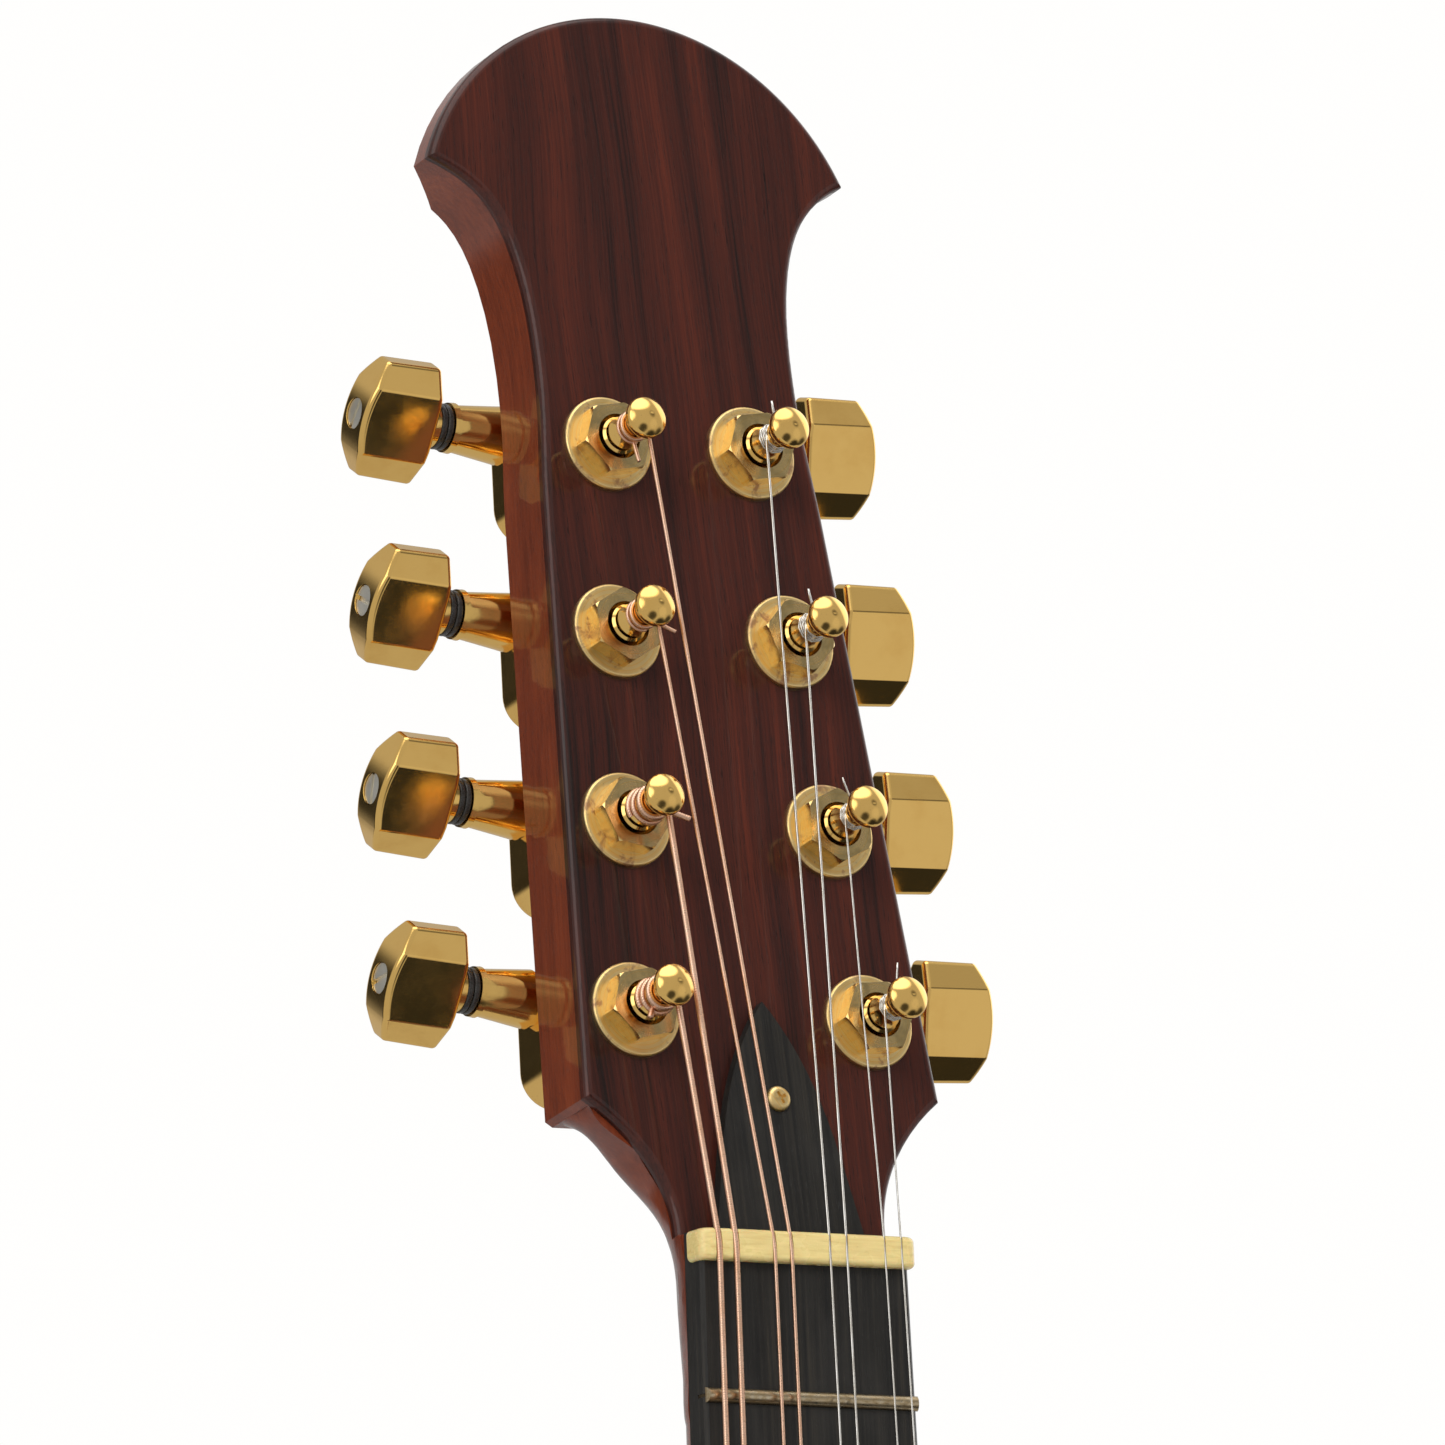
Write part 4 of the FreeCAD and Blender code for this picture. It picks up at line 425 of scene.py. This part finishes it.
def button_gold(tuner):
    """The same plating, with the steel screw that shows in the button's outer end."""
    paint = Paint("button_gold_%d" % tuner.number)
    reach = paint.along(tuner.worm, tuner.shaft)
    offset = paint.node("ShaderNodeVectorMath", {0: paint.position, 1: tuner.worm},
                        operation="SUBTRACT").outputs[0]
    square = paint.math("MULTIPLY", paint.node("ShaderNodeVectorMath", {0: offset, 1: offset},
                                               operation="DOT_PRODUCT").outputs["Value"],
                        1 / MM ** 2)
    beside = paint.math("POWER", paint.math("MAXIMUM", paint.math(
        "SUBTRACT", square, paint.math("MULTIPLY", reach, reach)), 0.0), 0.5)
    is_screw = paint.math("MULTIPLY", paint.math("GREATER_THAN", reach, END_SCREW_FROM),
                          paint.math("LESS_THAN", beside, END_SCREW_RADIUS))
    patches = paint.noise(paint.scaled(paint.position, 0.14, 0.14, 0.14), detail=4.0, roughness=0.6)
    hair = paint.noise(paint.scaled(paint.position, 1.2, 6.0, 9.0), detail=3.0, roughness=0.7)
    colour = paint.mix(paint.spread(patches, 0.45, 0.75, 0.0, 0.45), GOLD, (0.86, 0.50, 0.13))
    colour = paint.mix(is_screw, colour, (0.90, 0.87, 0.78))
    roughness = paint.math("ADD", paint.spread(patches, 0.3, 0.7, 0.06, 0.15),
                           paint.spread(hair, 0.45, 0.8, 0.0, 0.08))
    roughness = paint.math("ADD", roughness, paint.math("MULTIPLY", is_screw, 0.34))
    return paint.finish(colour, roughness, Metallic=1.0, Normal=paint.bump(hair, 0.0015))


def tuner_rings(paint):
    """Distance in millimetres from the nearest post's axis, on the face of the headstock."""
    first, last = TUNERS[2], TUNERS[8]
    places = 3
    pitch = (last.base - first.base).dot(HEAD_UP) / places
    inset = (first.base.x - last.base.x) / places
    x = paint.split(paint.position)[0]
    up = paint.node("ShaderNodeVectorMath", {
        0: paint.node("ShaderNodeVectorMath", {0: paint.position, 1: first.base},
                      operation="SUBTRACT").outputs[0],
        1: HEAD_UP}, operation="DOT_PRODUCT").outputs["Value"]
    place = paint.math("ROUND", paint.math("DIVIDE", up, pitch))
    off_up = paint.math("SUBTRACT", up, paint.math("MULTIPLY", place, pitch))
    centre = paint.math("SUBTRACT", first.base.x, paint.math("MULTIPLY", place, inset))
    off_side = paint.math("SUBTRACT", paint.math("ABSOLUTE", x), centre)
    square = paint.math("ADD", paint.math("MULTIPLY", off_up, off_up),
                        paint.math("MULTIPLY", off_side, off_side))
    return paint.math("DIVIDE", paint.math("POWER", square, 0.5), MM)


def tarnished_gold(name, patch_share, ring_depth, rough):
    """Worn plating: turned rings, brown bloom and bare pinkish patches."""
    paint = Paint(name)
    radius = tuner_rings(paint)
    patches = paint.noise(paint.scaled(paint.position, 0.30, 0.30, 0.30), detail=5.0, roughness=0.65,
                          distortion=0.5)
    stains = paint.noise(paint.scaled(paint.position, 1.1, 1.1, 1.1), detail=4.0, roughness=0.7)
    rings = paint.noise(paint.join(paint.math("MULTIPLY", radius, 5.5), patches, 0.0), detail=3.0)
    base = paint.mix(paint.spread(rings, 0.45, 0.75), PALE_GOLD, GOLD)
    bloom = paint.math("MULTIPLY", paint.spread(patches, 0.52, 0.66), patch_share)
    colour = paint.mix(bloom, base, (0.52, 0.29, 0.16))
    colour = paint.mix(paint.spread(stains, 0.60, 0.78, 0.0, 0.6 * patch_share), colour, TARNISH)
    roughness = paint.math("ADD", paint.spread(patches, 0.3, 0.7, rough, rough + 0.14),
                           paint.math("MULTIPLY", rings, 0.10))
    height = paint.math("ADD", paint.math("MULTIPLY", rings, ring_depth), stains)
    return paint.finish(colour, roughness, Metallic=1.0, Normal=paint.bump(height, 0.012))


def wound_bronze():
    paint = Paint("wound_bronze")
    wear = paint.noise(paint.scaled(paint.position, 0.25, 0.25, 0.25), detail=4.0)
    fine = paint.noise(paint.scaled(paint.position, 5.0, 5.0, 5.0), detail=2.0)
    colour = paint.ramp(wear, ((0.3, (0.96, 0.64, 0.47)), (0.6, (0.92, 0.57, 0.39)),
                               (0.8, (0.78, 0.44, 0.27))))
    return paint.finish(colour, paint.spread(fine, 0.3, 0.7, 0.26, 0.36), Metallic=1.0,
                        Normal=paint.bump(fine, 0.003))


def plain_steel():
    paint = Paint("plain_steel")
    wear = paint.noise(paint.scaled(paint.position, 1.4, 1.4, 0.3), detail=4.0)
    colour = paint.ramp(wear, ((0.3, (0.86, 0.84, 0.80)), (0.7, (0.66, 0.62, 0.55))))
    return paint.finish(colour, paint.spread(wear, 0.3, 0.7, 0.16, 0.3), Metallic=1.0,
                        Normal=paint.bump(wear, 0.004))


def nickel_silver():
    """Frets: fairly dull, with patchy stains, and darker along the foot where they meet the board."""
    paint = Paint("nickel_silver")
    y = paint.split(paint.position)[1]
    lift = paint.math("DIVIDE", paint.math("SUBTRACT", BOARD_FRONT, y), 1.1 * MM)
    stains = paint.noise(paint.scaled(paint.position, 0.8, 2.0, 2.0), detail=5.0, roughness=0.7)
    brushed = paint.noise(paint.scaled(paint.position, 8.0, 1.0, 1.0), detail=2.0)
    colour = paint.ramp(stains, ((0.3, (0.64, 0.55, 0.40)), (0.55, (0.50, 0.38, 0.22)),
                                 (0.75, (0.26, 0.16, 0.08))))
    # Darker towards the foot: the lowest half millimetre above the board is mixed towards dark brown.
    colour = paint.mix(paint.spread(lift, 0.0, 0.45, 0.6, 0.0), colour, (0.16, 0.10, 0.05))
    return paint.finish(colour, paint.spread(stains, 0.3, 0.7, 0.24, 0.42), Metallic=1.0,
                        Normal=paint.bump(brushed, 0.01))


def machined(name, colour, dark):
    paint = Paint(name)
    turned = paint.noise(paint.scaled(paint.position, 3.0, 3.0, 3.0), detail=4.0, roughness=0.6)
    grease = paint.noise(paint.scaled(paint.position, 0.4, 0.4, 0.4), detail=3.0)
    tone = paint.mix(paint.spread(grease, 0.45, 0.7, 0.0, 0.7), colour, dark)
    return paint.finish(tone, paint.spread(turned, 0.3, 0.7, 0.2, 0.4), Metallic=1.0,
                        Normal=paint.bump(turned, 0.01))


def worm_steel(tuner):
    """Steel shaft; the two washers outside the nozzle are black."""
    paint = Paint("worm_steel_%d" % tuner.number)
    reach = paint.along(tuner.worm, tuner.shaft)
    fine = paint.noise(paint.scaled(paint.position, 2.5, 2.5, 2.5), detail=3.0)
    is_washer = paint.math("MULTIPLY", paint.math("GREATER_THAN", reach, WASHERS_FROM),
                           paint.math("LESS_THAN", reach, WASHERS_TO))
    colour = paint.mix(is_washer, (0.45, 0.43, 0.40), (0.018, 0.016, 0.014))
    metal = paint.math("SUBTRACT", 1.0, is_washer)
    return paint.finish(colour, paint.spread(fine, 0.3, 0.7, 0.22, 0.36), Metallic=metal,
                        Normal=paint.bump(fine, 0.01))


def dress(material, *names):
    """Give CAD nodes a material."""
    for name in names:
        mesh = NODES[name].data
        mesh.materials.clear()
        mesh.materials.append(material)


def numbered(part):
    return ["tuner_%d_%s" % (number, part) for number in TUNERS]


def dress_cad_nodes():
    dress(rosewood_face(), "headstock_face")
    dress(mahogany(), "neck")
    dress(rosewood_body(), "back_plate")
    dress(rosewood_sides(), "sides")
    dress(spruce(), "soundboard")
    dress(bare_wood(), "neck_block", "tail_block", "soundboard_braces", "back_braces")
    dress(kerfed_wood(), "linings")
    dress(ebony("ebony_cover", 0.46), "truss_rod_cover")
    dress(ebony("ebony_board", 0.42), "fretboard")
    dress(ebony("ebony_polished", 0.26), "bridge", "end_pin")
    dress(bone(), "nut", "saddle")
    dress(celluloid(), "binding")
    dress(pearl(), "position_markers")
    dress(rosette_mosaic(), "rosette")
    gold = polished_gold()
    dress(gold, "tuner_housings", "tuner_housing_covers", "tailpiece", *numbered("post"))
    dress(tarnished_gold("tarnished_gold", 0.9, 1.3, 0.27), "tuner_washers")
    dress(tarnished_gold("worn_gold", 0.3, 0.3, 0.10), "tuner_bushings")
    dress(tarnished_gold("screw_gold", 0.2, 0.3, 0.30), "small_screws")
    dress(nickel_silver(), "frets")
    dress(machined("gear_brass", (0.75, 0.52, 0.22), (0.30, 0.18, 0.07)), *numbered("wheel"))
    dress(machined("rod_steel", (0.40, 0.39, 0.38), (0.12, 0.11, 0.10)), "truss_rod")
    for tuner in TUNERS.values():
        dress(button_gold(tuner), "tuner_%d_button" % tuner.number)
        dress(worm_steel(tuner), "tuner_%d_worm" % tuner.number)


# --------------------------------------------------------------------------------------
# Wire: strings, their turns round the posts and their loop ends
# --------------------------------------------------------------------------------------
def resample(points, step):
    """Points at even distances along a path."""
    points = np.array([tuple(p) for p in points])
    lengths = np.concatenate(([0], np.cumsum(np.linalg.norm(np.diff(points, axis=0), axis=1))))
    count = max(2, int(math.ceil(lengths[-1] / step)) + 1)
    places = np.linspace(0, lengths[-1], count)
    return np.stack([np.interp(places, lengths, points[:, i]) for i in range(3)], axis=1)


def rounded(points, radius, steps=8):
    """A path with its inner corners rounded."""
    made = [Vector(points[0])]
    for before, corner, after in zip(points, points[1:], points[2:]):
        start = corner + (before - corner).normalized() * radius
        end = corner + (after - corner).normalized() * radius
        for i in range(steps + 1):
            t = i / steps
            made.append(start.lerp(corner, t).lerp(corner.lerp(end, t), t))
    made.append(Vector(points[-1]))
    return made


def carried_frames(path):
    """Two cross directions at each point of a path, turned as little as possible."""
    tangents = np.gradient(path, axis=0)
    tangents /= np.linalg.norm(tangents, axis=1, keepdims=True)
    side = np.cross(tangents[0], (0.3, 0.2, 0.93))
    sides = np.empty_like(path)
    for i, tangent in enumerate(tangents):
        side = side - tangent * side.dot(tangent)
        side /= math.sqrt(side.dot(side))
        sides[i] = side
    return sides, np.cross(tangents, sides)


def tube_mesh(name, path, radius, sides, groove=None):
    """Mesh of a round wire. A groove is the pitch and depth of a winding's helical valleys."""
    cross_a, cross_b = carried_frames(path)
    turn = np.arange(sides) / sides * math.tau
    distance = np.concatenate(([0], np.cumsum(np.linalg.norm(np.diff(path, axis=0), axis=1))))
    reach = np.full((len(path), sides), radius)
    if groove:
        pitch, depth = groove
        phase = distance[:, None] / pitch * math.tau - turn[None, :]
        reach = radius - depth * (0.5 - 0.5 * np.cos(phase))
    ring = (cross_a[:, None, :] * np.cos(turn)[None, :, None]
            + cross_b[:, None, :] * np.sin(turn)[None, :, None])
    corners = (path[:, None, :] + ring * reach[:, :, None]).reshape(-1, 3)
    first = np.arange(len(path) - 1)[:, None] * sides
    here = np.arange(sides)[None, :]
    after = (here + 1) % sides
    quads = np.stack([first + here, first + after, first + sides + after, first + sides + here],
                     axis=2).reshape(-1, 4)
    last = (len(path) - 1) * sides
    faces = quads.tolist() + [list(range(sides))[::-1], [last + i for i in range(sides)]]
    mesh = bpy.data.meshes.new(name)
    mesh.from_pydata(corners.tolist(), [], faces)
    mesh.polygons.foreach_set("use_smooth", [True] * len(mesh.polygons))
    return mesh


def piece(name, meshes, material, body):
    """One object made of one or more meshes, riding on a body."""
    if len(meshes) == 1:
        mesh = meshes[0]
    else:
        corners, faces = [], []
        for part in meshes:
            faces += [[len(corners) + i for i in face.vertices] for face in part.polygons]
            corners += [tuple(corner.co) for corner in part.vertices]
            bpy.data.meshes.remove(part)
        mesh = bpy.data.meshes.new(name)
        mesh.from_pydata(corners, [], faces)
        mesh.polygons.foreach_set("use_smooth", [True] * len(mesh.polygons))
    mesh.materials.append(material)
    made = bpy.data.objects.new(name, mesh)
    bpy.context.scene.collection.objects.link(made)
    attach(made, body)
    return made


class StringSpec:
    """One string: its thickness, its tuner and its place across the nut and the bridge."""

    def __init__(self, index, diameter, tuner, wound):
        self.index = index
        self.radius = diameter * MM / 2
        self.tuner = TUNERS[tuner]
        self.wound = wound
        pair, member = divmod(index, 2)
        self.nut_x = ((pair - 1.5) * PAIR_PITCH_AT_NUT + (member - 0.5) * PAIR_GAP_AT_NUT) * MM
        self.bridge_x = ((pair - 1.5) * PAIR_PITCH_AT_BRIDGE
                         + (member - 0.5) * PAIR_GAP_AT_BRIDGE) * MM


PAIR_PITCH_AT_NUT = 9.65
PAIR_GAP_AT_NUT = 2.95
PAIR_PITCH_AT_BRIDGE = 13.6
PAIR_GAP_AT_BRIDGE = 3.4
ABOVE_BOARD_AT_NUT = 1.85 * MM
ABOVE_BOARD_AT_BRIDGE = 4.7 * MM
LEAVING_HEIGHT = 8.8
POST_WAIST = 1.9
POST_CONE_TOP = 8.0
HOOK_RADIUS = 1.1 * MM
HOOK_Z = 27.0 * MM
HOOK_DEPTH = BODY_FRONT - 6.2 * MM
TAIL_NARROWING = 0.86
STRINGS = [StringSpec(index, *spec) for index, spec in enumerate((
    (1.04, 1, True), (1.04, 3, True), (0.66, 5, True), (0.66, 7, True),
    (0.40, 8, False), (0.40, 6, False), (0.30, 4, False), (0.30, 2, False)))]


def post_radius(height):
    """Radius of the post where the string wraps: a waist above a widening cone."""
    return POST_WAIST + max(0.0, POST_CONE_TOP - height) * 0.22


def leaving_angle(spec):
    """Direction, round the post, of the point where the string leaves it for the nut."""
    radius = post_radius(LEAVING_HEIGHT) * MM + spec.radius
    run = Vector((spec.nut_x - spec.tuner.base.x,
                  (Vector((0, NUT_LOW.y, NUT_LOW.z)) - spec.tuner.base).dot(HEAD_UP)))
    heading = math.atan2(run.y, run.x)
    lean = math.acos(radius / run.length)
    return heading - spec.tuner.side * lean


def around_post(spec, angle, height):
    reach = post_radius(height) + spec.radius / MM
    return spec.tuner.point(math.cos(angle) * reach, math.sin(angle) * reach, height)


def wire(spec, name, path):
    """Tube for a stretch of string; wound ones carry their winding."""
    if spec.wound:
        pitch = spec.radius * 0.72
        return tube_mesh(name, resample(path, pitch / 3), spec.radius, 8,
                         (pitch, spec.radius * 0.17))
    return tube_mesh(name, resample(path, 1.5 * MM), spec.radius, 8)


def make_string(spec, material):
    at_post = around_post(spec, leaving_angle(spec), LEAVING_HEIGHT)
    at_nut = Vector((spec.nut_x, BOARD_FRONT - ABOVE_BOARD_AT_NUT, (NUT_LOW.z + NUT_HIGH.z) / 2))
    at_saddle = Vector((spec.bridge_x, BOARD_FRONT - ABOVE_BOARD_AT_BRIDGE, SADDLE.z))
    tail_x = spec.bridge_x * TAIL_NARROWING
    at_tail = Vector((tail_x, HOOK_DEPTH, HOOK_Z + HOOK_RADIUS + spec.radius * 2))
    path = rounded([at_post, at_nut, at_saddle, at_tail], 2.2 * MM)
    made = piece("string_%d" % (spec.index + 1), [wire(spec, "string", path)], material,
                 "instrument")
    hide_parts("strings")


def make_turns(spec, material):
    """Turns round the post: a full ring where the string leaves, then more below it."""
    start = leaving_angle(spec)
    way = -spec.tuner.side
    turns = 2.6 if spec.radius > 0.5 * MM else 1.8 if spec.wound else 4.3
    drop = spec.radius * 2.05 / MM
    steps = 48
    ring = [around_post(spec, start + math.tau * i / steps, LEAVING_HEIGHT) for i in range(steps + 1)]
    helix = []
    for i in range(int(turns * steps) + 1):
        turned = i / steps
        height = LEAVING_HEIGHT - drop * min(turned, 1) ** 2 * 0.5 - drop * max(0, turned - 0.5)
        helix.append(around_post(spec, start + way * math.tau * turned, height))
    tail = tail_path(spec)
    meshes = [wire(spec, "ring", ring), wire(spec, "helix", helix),
              wire(spec, "tail", tail)]
    piece("string_turns_%d" % (spec.index + 1), meshes, material,
          "post_%d" % spec.tuner.number)


# For each string: the cut end's direction round the post, its height and how far it sticks out
TAILS = ((-118, 7.1, 1.7), (-22, 8.4, 4.2), (-30, 8.7, 3.4), (-86, 7.7, 3.2),
         (100, 9.2, 3.0), (104, 9.2, 3.2), (112, 9.2, 3.6), (84, 9.2, 4.2))


def tail_path(spec):
    """The cut end: out of the hole in the post, then bent a little outwards and up."""
    degrees, height, length = TAILS[spec.index]
    angle = math.radians(degrees)
    direction = Vector((math.cos(angle), math.sin(angle)))
    path = []
    for i in range(9):
        t = i / 8
        reach = 1.0 + (post_radius(height) + 0.4 + length - 1.0) * t
        path.append(spec.tuner.point(direction.x * reach, direction.y * reach,
                                     height + 0.5 * t * t))
    return path


def make_loop_end(spec, material):
    """Loop over the tailpiece's hook, with its end twisted back round the string."""
    wire_radius = min(spec.radius, 0.2 * MM) * 0.9
    ring_radius = HOOK_RADIUS + wire_radius * 1.2
    tail_x = spec.bridge_x * TAIL_NARROWING
    steps = 40
    ring = []
    for i in range(steps + 1):
        angle = math.tau * i / steps
        ring.append(Vector((tail_x + math.sin(angle) * ring_radius, HOOK_DEPTH,
                            HOOK_Z + math.cos(angle) * ring_radius)))
    twist = []
    start = Vector((tail_x, HOOK_DEPTH, HOOK_Z + ring_radius))
    heading = (Vector((spec.bridge_x, BOARD_FRONT - ABOVE_BOARD_AT_BRIDGE, SADDLE.z)) - start)
    heading.normalize()
    side = heading.cross(Vector((0, 1, 0))).normalized()
    other = heading.cross(side)
    reach = spec.radius + wire_radius
    for i in range(9 * 12 + 1):
        angle = math.tau * i / 12
        twist.append(start + heading * (2.4 * wire_radius * i / 12)
                     + (side * math.cos(angle) + other * math.sin(angle)) * reach)
    meshes = [tube_mesh("ring", np.array([tuple(p) for p in ring]), wire_radius, 8),
              tube_mesh("twist", np.array([tuple(p) for p in twist]), wire_radius, 8)]
    piece("string_loop_%d" % (spec.index + 1), meshes, material, "instrument")


def make_all_strings():
    bronze, steel = wound_bronze(), plain_steel()
    for spec in STRINGS:
        material = bronze if spec.wound else steel
        make_string(spec, material)
        make_turns(spec, material)
        make_loop_end(spec, steel)


# --------------------------------------------------------------------------------------
# Stage, light and camera
# --------------------------------------------------------------------------------------
def direction(azimuth, elevation):
    """Azimuth 0 is in front of the soundboard and 90 on the treble side; both in degrees."""
    a, e = math.radians(azimuth), math.radians(elevation)
    return Vector((math.sin(a) * math.cos(e), -math.cos(a) * math.cos(e), math.sin(e)))


def make_floor():
    paint = Paint("pale_floor")
    speck = paint.noise(paint.scaled(paint.position, 0.002, 0.002, 0.002), detail=3.0)
    material = paint.finish(paint.ramp(speck, ((0.3, (0.83, 0.83, 0.82)), (0.7, (0.87, 0.87, 0.86)))),
                            0.7)
    half = 60.0
    height = cad_box[0].z - 0.5 * MM
    mesh = bpy.data.meshes.new("floor")
    mesh.from_pydata([(-half, -half, height), (half, -half, height), (half, half, height),
                      (-half, half, height)], [], [(0, 1, 2, 3)])
    mesh.materials.append(material)
    floor = bpy.data.objects.new("floor", mesh)
    bpy.context.scene.collection.objects.link(floor)
    floor.visible_glossy = False


# What polished parts reflect: a pale room with soft boxes and dark screens in it.
# Each patch: azimuth, elevation, half angle, and what it adds to the room's brightness or,
# below zero, takes from it.
PATCHES = ((-20, 78, 30, 1.6), (-66, 20, 20, 1.6), (36, -10, 15, 0.1), (104, 24, 26, 1.0),
           (34, 25, 8, -0.34), (-149, 8, 16, -0.47), (45, -50, 18, -0.48), (-8, -28, 14, -0.44),
           (78, -28, 15, -0.44))
ROOM_GLOW = 0.50
DARKEST = 0.03


def make_world():
    """Plain white seen directly; the polished parts reflect a room with boxes and screens."""
    world = bpy.data.worlds.new("studio")
    bpy.context.scene.world = world
    world.use_nodes = True
    tree = world.node_tree
    tree.nodes.clear()
    heading = tree.nodes.new("ShaderNodeTexCoord").outputs["Generated"]
    glow = None
    for azimuth, elevation, half_angle, change in PATCHES:
        facing = tree.nodes.new("ShaderNodeVectorMath")
        facing.operation = "DOT_PRODUCT"
        facing.inputs[1].default_value = direction(azimuth, elevation)
        tree.links.new(heading, facing.inputs[0])
        edge = tree.nodes.new("ShaderNodeMapRange")
        edge.interpolation_type = "SMOOTHSTEP"
        edge.inputs["From Min"].default_value = math.cos(math.radians(half_angle + 7))
        edge.inputs["From Max"].default_value = math.cos(math.radians(half_angle - 5))
        edge.inputs["To Max"].default_value = change
        tree.links.new(facing.outputs["Value"], edge.inputs["Value"])
        if glow is None:
            glow = edge.outputs[0]
        else:
            total = tree.nodes.new("ShaderNodeMath")
            tree.links.new(glow, total.inputs[0])
            tree.links.new(edge.outputs[0], total.inputs[1])
            glow = total.outputs[0]
    room = tree.nodes.new("ShaderNodeMath")
    room.inputs[1].default_value = ROOM_GLOW
    tree.links.new(glow, room.inputs[0])
    seen = tree.nodes.new("ShaderNodeMath")
    seen.operation = "MAXIMUM"
    seen.inputs[1].default_value = DARKEST
    tree.links.new(room.outputs[0], seen.inputs[0])
    rays = tree.nodes.new("ShaderNodeLightPath")
    strength = tree.nodes.new("ShaderNodeMix")
    strength.data_type = "FLOAT"
    strength.inputs[2].default_value = 1.0
    tree.links.new(rays.outputs["Is Glossy Ray"], strength.inputs[0])
    tree.links.new(seen.outputs[0], strength.inputs[3])
    fill = tree.nodes.new("ShaderNodeMix")
    fill.data_type = "FLOAT"
    fill.inputs[3].default_value = 0.62
    tree.links.new(rays.outputs["Is Diffuse Ray"], fill.inputs[0])
    tree.links.new(strength.outputs[0], fill.inputs[2])
    background = tree.nodes.new("ShaderNodeBackground")
    background.inputs["Color"].default_value = (1.0, 0.995, 0.985, 1)
    tree.links.new(fill.outputs[0], background.inputs["Strength"])
    output = tree.nodes.new("ShaderNodeOutputWorld")
    tree.links.new(background.outputs[0], output.inputs[0])


def make_area_light(name, azimuth, elevation, distance, size, watts, target):
    light = bpy.data.lights.new(name, "AREA")
    light.shape = "DISK"
    light.size = size
    light.energy = watts
    made = bpy.data.objects.new(name, light)
    bpy.context.scene.collection.objects.link(made)
    away = direction(azimuth, elevation)
    made.location = target + away * distance
    made.rotation_mode = "QUATERNION"
    made.rotation_quaternion = (-away).to_track_quat("-Z", "Y")
    made.visible_glossy = False


def make_lights():
    head = middle("headstock_face")
    make_area_light("key", -38, 34, 2.6, 1.3, 62, head)
    make_area_light("fill", 55, 20, 3.0, 1.6, 30, head)
    make_area_light("rim", 170, 40, 3.0, 1.6, 30, head)


# The view: from the bass side and a little below, far away, rolled slightly.  The aim is a
# point in front of the headstock, towards the nut and the bass side.
VIEW_AZIMUTH = -30.9
VIEW_ELEVATION = -10.38
VIEW_ROLL = -2.62
VIEW_DISTANCE = 3.28
VIEW_LENS = 543
AIM = middle("headstock_face") + Vector((-13.5, -29.93, -21.15)) * MM


def make_camera():
    camera = bpy.data.cameras.new("camera")
    camera.lens = VIEW_LENS
    camera.sensor_width = 36
    camera.clip_end = 200
    made = bpy.data.objects.new("camera", camera)
    bpy.context.scene.collection.objects.link(made)
    back = direction(VIEW_AZIMUTH, VIEW_ELEVATION)
    level = (-back).to_track_quat("-Z", "Y").to_matrix()
    roll = Matrix.Rotation(math.radians(VIEW_ROLL), 3, "Z")
    made.matrix_world = (Matrix.Translation(AIM + back * VIEW_DISTANCE)
                         @ (level @ roll).to_4x4())
    bpy.context.scene.camera = made


def set_colour_view():
    settings = bpy.context.scene.view_settings
    settings.view_transform = "Standard"
    settings.look = "None"


dress_cad_nodes()
make_all_strings()
make_floor()
make_world()
make_lights()
make_camera()
set_colour_view()
